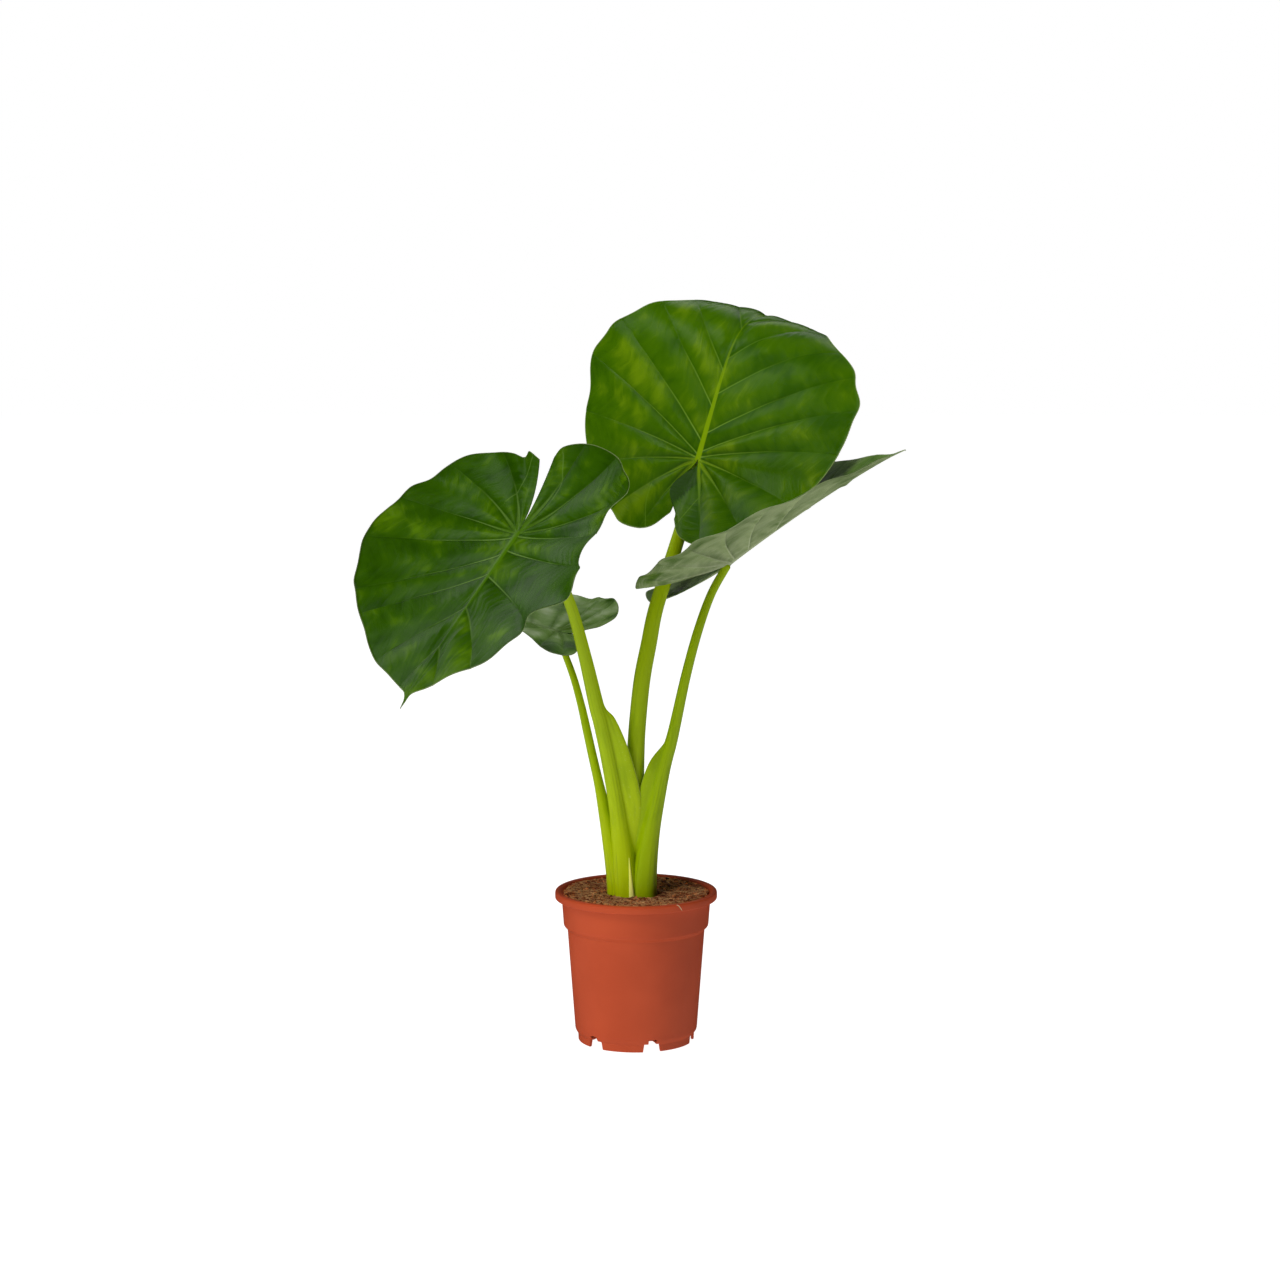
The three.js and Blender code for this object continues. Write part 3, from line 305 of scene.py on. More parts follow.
# Blades
def columns_of(leaf, half, spacing):
    """Columns from the midrib to the edge: edge parameter, start, phase between veins, lane, span."""
    edge = half["edge"]
    top = len(edge) - 1
    fine_u = np.linspace(0, top, 20 * top + 1)
    fine = spline_at(edge, fine_u)
    marks = [(leaf["length"], 0.0)]
    for start, s, t in half["veins"]:
        marks.append((start, fine_u[np.argmin(np.hypot(fine[:, 0] - s, fine[:, 1] - t))]))
    marks.append((0.0, float(top)))
    rows = []
    for i in range(len(marks) - 1):
        (start_a, u_a), (start_b, u_b) = marks[i], marks[i + 1]
        span = float(np.hypot(*(spline_at(edge, [u_a]) - spline_at(edge, [u_b]))[0]))
        n = int(np.clip(round(span / spacing), *LANE_COLUMNS))
        last = i == len(marks) - 2
        for k in range(n + (1 if last else 0)):
            f = 0.5 - 0.5 * math.cos(math.pi * k / n)
            rows.append((u_a + (u_b - u_a) * f, start_a + (start_b - start_a) * f, f, i, span))
    return np.array(rows)


def path_distance(path, s, t):
    """Signed distance of plan points to a smooth path."""
    line = spline_at(path, np.linspace(0, len(path) - 1, 40))
    best = np.full(s.shape, 1e9)
    sign = np.ones_like(s)
    for a, b in zip(line, line[1:]):
        d = b - a
        f = np.clip(((s - a[0]) * d[0] + (t - a[1]) * d[1]) / (d @ d), 0, 1)
        gap = np.hypot(s - a[0] - f * d[0], t - a[1] - f * d[1])
        side = np.sign(d[0] * (t - a[1]) - d[1] * (s - a[0])) + 0.0
        nearer = gap < best
        best = np.where(nearer, gap, best)
        sign = np.where(nearer, np.where(side == 0, 1, side), sign)
    return best * sign


def half_blade(leaf, side, spacing, rows):
    """Grids of one half: points above, points below, and what the material reads at each."""
    half = half_of(leaf, side)
    c = columns_of(leaf, half, spacing)
    u, start, phase, lane, span = (c[:, k][:, None] for k in range(5))
    w = (np.linspace(0, 1, rows) ** 1.25)[None, :]
    end = spline_at(half["edge"], c[:, 0])
    end_s, end_t = end[:, 0][:, None], end[:, 1][:, None]
    long = np.maximum(np.hypot(end_s - start, end_t), 1e-6)
    dir_s, dir_t = (end_s - start) / long, end_t / long
    s = start + (end_s - start) * w
    out = end_t * w
    sag = leaf["vein_sag"] * long * 4 * w * (1 - w)
    s = s - sag * dir_t
    out = out + sag * dir_s * 0.5
    last = len(half["edge"]) - 1
    near_sinus = np.exp(-(((last - u) / 2.2) ** 2))
    out = out - half["bow"] * np.sin(np.pi * w) ** 2 * near_sinus
    out = out + half["notch"] * np.exp(-(((w - 0.11) / 0.08) ** 2)) * near_sinus

    # Distance to the nearest vein, in mm: its sign changes at each vein and nowhere else
    starts = np.array([leaf["length"]] + [v[0] for v in half["veins"]] + [0.0])
    index = c[:, 3].astype(int)
    start_gap = np.abs(starts[index] - starts[np.minimum(index + 1, len(starts) - 1)])[:, None]
    gap = start_gap * np.abs(dir_t) * (1 - w) + span * w * np.maximum(np.abs(dir_t), 0.6)
    nearest = np.minimum(phase, 1 - phase)
    nearest = np.where((lane == 0) & (phase < 0.5), 1.0, nearest)
    nearest = np.where((lane == lane.max()) & (phase > 0.5), 1.0, nearest)
    vein = nearest * gap * np.where(lane % 2 == 0, 1, -1)
    branch = np.full(s.shape, 60.0)
    for path in half["branches"]:
        found = path_distance(path, s, out)
        branch = np.where(np.abs(found) < np.abs(branch), found, branch)

    to_rib = np.hypot(out, np.minimum(s, 0))
    fade = 1 - 0.8 * w
    crest = np.exp(-((vein / (1.9 - 0.9 * w)) ** 2)) * smooth(w / 0.06)
    twig = np.exp(-((branch / 1.2) ** 2))
    pleat = (PLEAT_RISE * np.minimum(1, span / FULL_PLEAT_SPAN) * np.sin(np.pi * phase) ** 0.95
             * np.sin(np.pi * np.minimum(1, w * 1.02)) ** 0.8 * smooth(out / 14))
    wave = (leaf["wave"] * np.minimum(1, long / 100) * w ** 4
            * np.sin(2 * np.pi * u * EDGE_POINT_SPACING / WAVE_LENGTH + leaf["length"]))
    for at_s, at_out, radius, height in half["swells"]:
        wave = wave + height * np.exp(-((s - at_s) ** 2 + (out - at_out) ** 2) / radius ** 2)
    # Quilting: low bulges between the fine nerves that leave each vein at a slant
    slant = w * long + 0.8 * np.abs(vein)
    uneven = 0.5 + 0.5 * np.sin(s * 0.047 + 1.3 * lane) * np.sin(out * 0.053 + 0.7 * lane)
    quilt = (QUILT_RISE * uneven * np.sin(slant * 2 * np.pi / (12 + 2.5 * np.sin(lane * 2.3)) + lane * 1.7)
             * smooth(np.abs(vein) / 6) * smooth((1 - w) * long / 12) * smooth(out / 12))
    ripple = (RIPPLE_RISE * np.sin(s * 0.061 + lane) * np.sin(out * 0.083 + s * 0.02)
              * smooth(out / 16))
    # Cushions: the surface stands up between the veins where they leave the junction
    cushion = (CUSHION_RISE * np.exp(-(((w - 0.24) / 0.15) ** 2)) * (np.sin(np.pi * phase) ** 2 - 0.4)
               * np.minimum(1, span / 50) * smooth(out / 8))
    rise = pleat + wave + quilt + ripple + cushion - (crest * VEIN_GROOVE + twig * TWIG_GROOVE) * fade
    size = leaf["length"] / 250
    ahead = np.clip(s / leaf["length"], 0, 1)
    rib_width = MIDRIB_HALF_WIDTH * (1 - 0.72 * ahead)
    rib = np.sqrt(np.clip(1 - (to_rib / rib_width) ** 2, 0, 1))
    under = (MIDRIB_RIDGE * size * (1 - 0.85 * ahead ** 0.7) * rib + VEIN_RIDGE * fade * crest
             + TWIG_RIDGE * fade * twig)
    rise = rise + MIDRIB_TOP_RISE * size * (1 - 0.8 * ahead) * rib
    thin = BLADE_THICKNESS * (1 - EDGE_THINNING_SHARE * smooth(1 - (1 - w) * long / 3))
    above = place_on_blade(leaf, side, s, out, rise + thin / 2)
    below = place_on_blade(leaf, side, s, out, rise - thin / 2 - under)
    ones = np.ones_like(s)
    t = out * side
    # Spots of painted light and painted shade
    painted_light_and_shade = sum((value * np.exp(-((s - at_s) ** 2 + (t - at_t) ** 2) / radius ** 2)
                for at_s, at_t, radius, value in leaf["light_and_shade_spots"]), 0 * s)
    # Painted shade: a lobe is darker where the other one lies behind it
    painted_light_and_shade = painted_light_and_shade + (half["shade"] * smooth((s + 46 - 1.375 * out) / 3 + 0.5)
                   * smooth((-4 - s) / 8) * smooth((16 - out) / 4))
    facts = dict(painted_light_and_shade=painted_light_and_shade, vein=vein, branch=branch, rib=to_rib * side, along=w * long,
                 margin=(1 - w) * long, bulge=np.sin(np.pi * phase) ** 2 * ones, ahead=w * ones,
                 plan=np.stack([s, t, lane * ones], -1))
    return above, below, facts


def new_object(name, data):
    obj = bpy.data.objects.new(name, data)
    bpy.context.scene.collection.objects.link(obj)
    return obj


def make_mesh(name, points, faces, facts=None):
    """A smooth mesh object from points in mm; facts hold a number or a vector for each point."""
    mesh = bpy.data.meshes.new(name)
    mesh.from_pydata((np.asarray(points) * MM).tolist(), [], [tuple(f) for f in faces])
    for key, values in (facts or {}).items():
        kind, field = ("FLOAT_VECTOR", "vector") if values.size > len(points) else ("FLOAT", "value")
        layer = mesh.attributes.new(key, kind, "POINT")
        layer.data.foreach_set(field, values.astype(np.float32).ravel())
    mesh.validate()
    mesh.shade_smooth()
    return new_object(name, mesh)


def grid_faces(columns, rows, base, flip):
    """Quads of a columns x rows grid of points that starts at index base."""
    i = np.arange(columns - 1)[:, None]
    j = np.arange(rows - 1)[None, :]
    a = (base + i * rows + j).ravel()
    quads = np.stack([a, a + 1, a + rows + 1, a + rows], 1)
    return quads[:, ::-1] if flip else quads


def ring_faces(rings, around):
    """Quads between rings of points, each ring closed on itself."""
    i = np.arange(rings - 1)[:, None] * around
    j = np.arange(around)[None, :]
    k = (j + 1) % around
    return np.stack([i + j, i + k, i + around + k, i + around + j], -1).reshape(-1, 4)


def closed_faces(rings, around):
    """The quads between the rings, and a cap on the first and the last ring."""
    ends = [tuple(range(around))[::-1], tuple((rings - 1) * around + j for j in range(around))]
    return list(ring_faces(rings, around)) + ends


def edit(obj, operation):
    """Runs one bmesh operation on the mesh of an object."""
    bm = bmesh.new()
    bm.from_mesh(obj.data)
    operation(bm)
    bm.to_mesh(obj.data)
    bm.free()


def face_outwards(obj):
    edit(obj, lambda bm: bmesh.ops.recalc_face_normals(bm, faces=bm.faces))


def make_blade(name, leaf, spacing, rows):
    points, faces = [], []
    facts = {}
    base = 0
    for side in (1, -1):
        above, below, half_facts = half_blade(leaf, side, spacing, rows)
        n = above.shape[0]
        count = n * rows
        points += [above.reshape(-1, 3), below.reshape(-1, 3)]
        faces += [grid_faces(n, rows, base, side < 0), grid_faces(n, rows, base + count, side > 0)]
        rim = [base + i * rows + rows - 1 for i in range(n)]
        rim += [base + (n - 1) * rows + j for j in range(rows - 2, -1, -1)]
        wall = np.array([(a, b, b + count, a + count) for a, b in zip(rim, rim[1:])])
        faces.append(wall if side > 0 else wall[:, ::-1])
        for key, values in half_facts.items():
            facts.setdefault(key, []).extend([values.ravel(), values.ravel()])
        facts.setdefault("under", []).extend([np.zeros(count), np.ones(count)])
        base += 2 * count
    obj = make_mesh(name, np.vstack(points), np.vstack(faces),
                    {key: np.concatenate(values) for key, values in facts.items()})
    edit(obj, lambda bm: bmesh.ops.remove_doubles(bm, verts=bm.verts, dist=0.03 * MM))
    obj.data.shade_smooth()
    return obj


# Stalks
def make_stalk(name, stalk, around=72, per_row=12):
    rows = np.array(stalk["rows"], float)
    last = len(rows) - 1
    tip = spline_at(rows, [last])[0, :3]

    def to_tip(at):
        return np.linalg.norm(spline_at(rows, at)[:, :3] - tip, axis=1)

    u = np.linspace(0, last, last * per_row + 1)
    round_off = 1
    if stalk is not CATAPHYLL:
        # The end is rounded and stays just under the blade
        left = to_tip(u)
        u = np.concatenate([u[left > 8], np.interp([7, 6, 5, 4.3, 3.8, 3.5], left[::-1], u[::-1])])
        round_off = np.sqrt(np.clip((to_tip(u) - STALK_END_GAP) / STALK_END_ROUNDING, 0.02, 1))
    x, y, z, rx, ry, wing = spline_at(rows, u).T
    rx, ry = rx * round_off, ry * round_off
    step = spline_at(rows, np.minimum(last, u + 0.05)) - spline_at(rows, np.maximum(0, u - 0.05))
    along = step[:, :3] / np.linalg.norm(step[:, :3], axis=1)[:, None]
    blend = smooth((z - STALK_STRAIGHT_TO) / STALK_LEAN_OVER)[:, None]
    along = along * blend + np.array([0, 0, 1.0]) * (1 - blend)
    along /= np.linalg.norm(along, axis=1)[:, None]
    right = np.cross([0, 1.0, 0], along)
    right /= np.linalg.norm(right, axis=1)[:, None]
    back = np.cross(along, right)
    # Angles crowd together at the wing, which is thin
    turn = np.linspace(-math.pi, math.pi, around, endpoint=False)
    off = turn - 0.72 * np.sin(turn)
    g = off + math.radians(stalk["wing_at"])
    # The leaf bases are pressed together, so they are squarer than the stalks above
    square = (2 + 1.1 * smooth((232 - z) / 60))[:, None]
    oval = (np.abs(np.cos(g) / rx[:, None]) ** square
            + np.abs(np.sin(g) / ry[:, None]) ** square) ** (-1 / square)
    wings = np.exp(-((off / WING_WIDTH_RADIANS) ** 2))[None, :]
    reach = np.maximum(0, wing)[:, None] * wings
    flutes = (FLUTE_DEPTH * np.sin(off * FLUTE_COUNT)[None, :] * smooth((z - 190) / 60)[:, None]
              * (1 - wings))
    radius = oval + reach + flutes
    points = (np.stack([x, y, z], 1)[:, None, :] + (radius * np.cos(g))[..., None] * right[:, None, :]
              + (radius * np.sin(g))[..., None] * back[:, None, :])
    ones = np.ones_like(radius)
    height = z[:, None] * ones
    facts = dict(height=height, off=off[None, :] * ones, wing=reach,
                 coat=np.stack([10 * np.cos(g)[None, :] * ones, 10 * np.sin(g)[None, :] * ones, height], -1))
    return make_mesh(name, points.reshape(-1, 3), closed_faces(len(u), around), facts)


# Pot
def make_pot():
    h = POT_HEIGHT
    lip = POT_RIM_RADIUS
    corners = [
        (0.01, POT_BASE_UNDERSIDE, 0), (57.4, POT_BASE_UNDERSIDE, 0.3), (57.9, 0.6, 0.2), (58.4, 0, 0.3),
        (60.3, 0, 0.5), (POT_FOOT_RADIUS, 0.5, 0.4), (61.1, 7.6, 0.8), (POT_BOTTOM_RADIUS, 11.8, 2.0),
        (POT_WAIST_RADIUS, h - 41.4, 0.6), (POT_WAIST_RADIUS + 0.6, h - 40.4, 0.6),
        (POT_STEP_RADIUS - 0.4, h - 37.2, 1.0), (POT_STEP_RADIUS, h - 36, 0.8),
        (POT_COLLAR_RADIUS, h - 9.2, 0.5), (POT_COLLAR_RADIUS + 0.4, h - 8.7, 0.3),
        (lip - 0.8, h - 8.5, 0.5), (lip - 0.1, h - 7.8, 0.5), (lip, h - 3, 1.0), (lip - 0.4, h - 1.1, 0.8),
        (lip - 1.8, h - 0.2, 0.8), (lip - 3.5, h, 0.9), (lip - 5.8, h - 0.5, 0.9), (lip - 7.2, h - 1.8, 0.9),
        (lip - 7.7, h - 4, 0.9), (POT_COLLAR_RADIUS - POT_WALL, h - 10, 0.6),
        (POT_STEP_RADIUS - POT_WALL, h - 35.6, 0.6),
        (POT_WAIST_RADIUS + 0.4 - POT_WALL, h - 39.6, 0.6), (POT_WAIST_RADIUS - POT_WALL, h - 41, 0.6),
        (POT_BOTTOM_RADIUS - POT_WALL, 12.8, 0.8), (61.4, 11, 0.4), (0.01, 10.8, 0)]
    profile = []
    for i, (r, z, bevel) in enumerate(corners):
        if bevel == 0:
            profile.append((r, z))
            continue
        here = np.array([r, z])
        before = np.array(corners[i - 1][:2]) - here
        after = np.array(corners[i + 1][:2]) - here
        size = min(bevel, 0.45 * np.linalg.norm(before), 0.45 * np.linalg.norm(after))
        a = here + before / np.linalg.norm(before) * size
        b = here + after / np.linalg.norm(after) * size
        for f in (0, 0.5, 1):
            profile.append(tuple((1 - f) ** 2 * a + 2 * f * (1 - f) * here + f * f * b))
    profile = np.array(profile)
    around = 192
    angle = np.linspace(0, 2 * np.pi, around, endpoint=False)
    points = np.stack([profile[:, 0][:, None] * np.cos(angle), profile[:, 0][:, None] * np.sin(angle),
                       profile[:, 1][:, None] * np.ones(around)], -1).reshape(-1, 3)
    pot = make_mesh("pot_shell", points, closed_faces(len(profile), around))
    face_outwards(pot)
    cutters = []
    for i in range(FOOT_NOTCH_COUNT):
        at = FIRST_NOTCH_DEG + i * 360 / FOOT_NOTCH_COUNT
        cutters.append(wedge(at, FOOT_NOTCH_DEG, -2, POT_BASE_UNDERSIDE - 0.4, FOOT_NOTCH_FLARE_DEG))
        cutters.append(wedge(at, DRAIN_SLOT_DEG, POT_BASE_UNDERSIDE - 1, DRAIN_SLOT_TOP, 0))
    for cutter in cutters:
        cut = pot.modifiers.new("notch", "BOOLEAN")
        cut.operation = "DIFFERENCE"
        cut.solver = "EXACT"
        cut.object = cutter
    graph = bpy.context.evaluated_depsgraph_get()
    cut_mesh = bpy.data.meshes.new_from_object(pot.evaluated_get(graph))
    pot.modifiers.clear()
    pot.data = cut_mesh
    for cutter in cutters:
        bpy.data.objects.remove(cutter)
    pot.data.shade_smooth()
    pot.data.set_sharp_from_angle(angle=math.radians(38))
    return pot


def wedge(at, width, low, high, flare):
    """A block that cuts the pot's foot from inside to outside; flare widens it at the bottom."""
    steps = 6
    points, faces = [], []
    for i in range(steps + 1):
        for z in (low, high):
            span = width + (2 * flare if z == low else 0)
            a = math.radians(at - span / 2 + span * i / steps - 90)
            points += [(r * math.cos(a), r * math.sin(a), z) for r in (FOOT_CUT_INNER, FOOT_CUT_OUTER)]
    for i in range(steps):
        a, b = 4 * i, 4 * (i + 1)
        faces += [(a, a + 1, b + 1, b), (a + 2, b + 2, b + 3, a + 3), (a + 1, a + 3, b + 3, b + 1),
                  (a, b, b + 2, a + 2)]
    e = 4 * steps
    faces += [(0, 2, 3, 1), (e, e + 1, e + 3, e + 2)]
    block = make_mesh("wedge", points, faces)
    face_outwards(block)
    return block


# Soil
def soil_height(x, y):
    r = np.hypot(x, y) / SOIL_RADIUS
    lumps = (0.9 * np.sin(x * 0.23 + 1.3) * np.cos(y * 0.27) + 0.6 * np.sin(x * 0.51 - y * 0.43)
             + 0.4 * np.cos(x * 0.83 + y * 0.71))
    return SOIL_EDGE_HEIGHT + SOIL_MOUND * (1 - r * r) + lumps * (1 - 0.5 * r)


def make_soil():
    around, rings = 220, 70
    angle = np.linspace(0, 2 * np.pi, around, endpoint=False)
    radius = np.linspace(0.5, SOIL_RADIUS + 0.2, rings)
    x = radius[:, None] * np.cos(angle)
    y = radius[:, None] * np.sin(angle)
    rough = np.zeros_like(x)
    for k, (size, high) in enumerate(((9, 0.5), (4.5, 0.55), (2.4, 0.4))):
        for m in range(5):
            a = 2.4 * m + k
            rough += high / 2 * np.sin((x * math.cos(a) + y * math.sin(a)) * 2 * np.pi / size + 3 * m + k)
    z = soil_height(x, y) + rough * 0.8 - 0.4
    points = np.stack([x, y, z], -1).reshape(-1, 3)
    skirt = SOIL_RADIUS - 2
    low = np.stack([skirt * np.cos(angle), skirt * np.sin(angle), np.full(around, SOIL_SKIRT_HEIGHT)], 1)
    # Seen from above the rings run outwards, so their quads are turned the other way
    quads = ring_faces(rings + 1, around)[:, [0, 3, 2, 1]]
    ends = [tuple(range(around)), tuple(rings * around + j for j in range(around))[::-1]]
    return make_mesh("soil_bed", np.vstack([points, low]), list(quads) + ends)


def join(name, pieces):
    """One mesh of many small ones: points, faces and tone of each."""
    points, faces, tone = [], [], []
    base = 0
    for ring, quads, value in pieces:
        points.append(ring)
        faces.append(quads + base)
        tone.append(np.full(len(ring), value))
        base += len(ring)
    return make_mesh(name, np.vstack(points), np.vstack(faces), {"tone": np.concatenate(tone)})


def make_crumbs(count):
    """Crumbs of peat and bark, seeded, lying on the soil."""
    shape = bmesh.new()
    bmesh.ops.create_icosphere(shape, subdivisions=1, radius=1)
    unit = np.array([v.co[:] for v in shape.verts])
    tris = np.array([[v.index for v in f.verts] for f in shape.faces])
    shape.free()
    crumbs = []
    for _ in range(count):
        r = (SOIL_RADIUS - 0.5) * math.sqrt(RNG.uniform(0.02, 1))
        a = RNG.uniform(0, 2 * math.pi)
        size = RNG.uniform(*CRUMB_RADIUS) * (1.4 if RNG.uniform() < 0.08 else 1)
        stretch = np.array([1, RNG.uniform(0.55, 1), RNG.uniform(0.4, 0.8)])
        q, _ = np.linalg.qr(RNG.normal(size=(3, 3)))
        lump = unit * (1 + 0.28 * RNG.normal(size=(len(unit), 1)).clip(-1, 1))
        x, y = r * math.cos(a), r * math.sin(a)
        at = np.array([x, y, float(soil_height(np.array(x), np.array(y))) + 0.25 * size - 0.2])
        crumbs.append(((lump * stretch * size) @ q.T + at, tris, RNG.uniform()))
    return join("soil_crumbs", crumbs)


def fibre_tube(path, radius, sides):
    """A tapering tube along a path of points."""
    path = np.asarray(path, float)
    along = np.gradient(path, axis=0)
    along /= np.linalg.norm(along, axis=1)[:, None]
    first = np.cross(along, [0.31, 0.22, 0.93])
    first /= np.linalg.norm(first, axis=1)[:, None]
    second = np.cross(along, first)
    taper = radius * (0.35 + 0.65 * np.sin(np.pi * np.linspace(0.08, 0.92, len(path))) ** 0.6)
    turn = np.linspace(0, 2 * np.pi, sides, endpoint=False)
    ring = (path[:, None, :] + taper[:, None, None] * (np.cos(turn)[None, :, None] * first[:, None, :]
            + np.sin(turn)[None, :, None] * second[:, None, :]))
    return ring.reshape(-1, 3), ring_faces(len(path), sides)


def make_fibres(count):
    """Coir fibres: curved, seeded, lying in and on the soil."""
    fibres = []
    for _ in range(count):
        r = (SOIL_RADIUS - 2) * math.sqrt(RNG.uniform(0.0, 1))
        a = RNG.uniform(0, 2 * math.pi)
        length = RNG.uniform(*FIBRE_LENGTH)
        heading = RNG.uniform(0, 2 * math.pi)
        curl = RNG.normal(0, 0.05)
        steps = 7
        x, y = r * math.cos(a), r * math.sin(a)
        path = []
        for k in range(steps):
            path.append((x, y))
            heading += curl * length / steps + RNG.normal(0, 0.18)
            x += math.cos(heading) * length / (steps - 1)
            y += math.sin(heading) * length / (steps - 1)
        path = np.array(path)
        far = np.hypot(path[:, 0], path[:, 1])
        if far.max() > SOIL_RADIUS:
            path *= SOIL_RADIUS / far.max()
        f = np.linspace(0, 1, steps)
        lift = RNG.uniform(0.1, 1.5) * np.sin(np.pi * f) + RNG.uniform(-0.2, 0.6) + RNG.normal(0, 0.35) * f
        z = np.minimum(soil_height(path[:, 0], path[:, 1]) + lift, FIBRE_TOP)
        tube = fibre_tube(np.column_stack([path, z]), RNG.uniform(*FIBRE_RADIUS), 3)
        fibres.append((*tube, RNG.uniform()))
    return join("coir_fibres", fibres)


def make_stray_fibre():
    """The pale fibre that hangs over the front of the lip."""
    path = spline_at([(36, -62, 156.5), (40, -69, 158.6), (43.5, -75.5, 159.2), (46, -80, 157.2),
                      (47.2, -82, 155.6)], np.linspace(0, 4, 17))
    return join("stray_fibre", [(*fibre_tube(path, 0.36, 6), 0.95)])


# Materials
class Graph:
    """Short names for the shader nodes of one material."""

    def __init__(self, name):
        self.material = bpy.data.materials.new(name)
        self.material.use_nodes = True
        self.tree = self.material.node_tree
        self.tree.nodes.clear()
        out = self.tree.nodes.new("ShaderNodeOutputMaterial")
        self.shader = self.tree.nodes.new("ShaderNodeBsdfPrincipled")
        self.tree.links.new(self.shader.outputs[0], out.inputs[0])

    def put(self, socket, value):
        if isinstance(value, bpy.types.NodeSocket):
            self.tree.links.new(value, socket)
        else:
            socket.default_value = value

    def attribute(self, name, kind="Fac"):
        node = self.tree.nodes.new("ShaderNodeAttribute")
        node.attribute_name = name
        return node.outputs[kind]

    def place(self):
        return self.tree.nodes.new("ShaderNodeTexCoord").outputs["Object"]

    def math(self, operation, a, b=0.0):
        node = self.tree.nodes.new("ShaderNodeMath")
        node.operation = operation
        for socket, value in zip(node.inputs, (a, b)):
            self.put(socket, value)
        return node.outputs[0]

    def add(self, total, *others):
        for other in others:
            total = self.math("ADD", total, other)
        return total

    def minus(self, a, b):
        return self.math("SUBTRACT", a, b)

    def times(self, a, b):
        return self.math("MULTIPLY", a, b)

    def span(self, value, low, high, to_low=0.0, to_high=1.0):
        node = self.tree.nodes.new("ShaderNodeMapRange")
        node.interpolation_type = "SMOOTHSTEP"
        keys = ("Value", "From Min", "From Max", "To Min", "To Max")
        for key, v in zip(keys, (value, low, high, to_low, to_high)):
            self.put(node.inputs[key], v)
        return node.outputs[0]

    def mix(self, factor, a, b):
        node = self.tree.nodes.new("ShaderNodeMix")
        node.data_type = "RGBA"
        self.put(node.inputs["Factor"], factor)
        self.put(node.inputs[6], a)
        self.put(node.inputs[7], b)
        return node.outputs[2]

    def over(self, base, mask, amount, color):
        """The base colour with some of another one where the mask is."""
        return self.mix(self.times(mask, amount), base, color)

    def vector(self, value, scale):
        node = self.tree.nodes.new("ShaderNodeVectorMath")
        node.operation = "MULTIPLY"
        self.put(node.inputs[0], value)
        node.inputs[1].default_value = scale
        return node.outputs[0]

    def first_of(self, vector):
        node = self.tree.nodes.new("ShaderNodeSeparateXYZ")
        self.put(node.inputs[0], vector)
        return node.outputs[0]

    def combine(self, x, y, z):
        node = self.tree.nodes.new("ShaderNodeCombineXYZ")
        for socket, value in zip(node.inputs, (x, y, z)):
            self.put(socket, value)
        return node.outputs[0]

    def noise(self, vector, scale, detail=3.0, rough=0.5, distortion=0.0):
        node = self.tree.nodes.new("ShaderNodeTexNoise")
        self.put(node.inputs["Vector"], vector)
        for key, v in (("Scale", scale), ("Detail", detail), ("Roughness", rough),
                       ("Distortion", distortion)):
            node.inputs[key].default_value = v
        return node.outputs[0]

    def bump(self, height, strength, distance):
        node = self.tree.nodes.new("ShaderNodeBump")
        node.inputs["Strength"].default_value = strength
        node.inputs["Distance"].default_value = distance
        self.put(node.inputs["Height"], height)
        return node.outputs[0]

    def finish(self, color, roughness, normal, specular):
        self.put(self.shader.inputs["Base Color"], color)
        self.put(self.shader.inputs["Roughness"], roughness)
        self.shader.inputs["Specular IOR Level"].default_value = specular
        if normal is not None:
            self.put(self.shader.inputs["Normal"], normal)
        return self.material


def rgb(r, g, b):
    """A colour given in 0 to 255 display values, as the linear values that shaders take."""
    return tuple((c / 255 / 12.92 if c / 255 <= 0.04045 else ((c / 255 + 0.055) / 1.055) ** 2.4)
                 for c in (r, g, b)) + (1.0,)
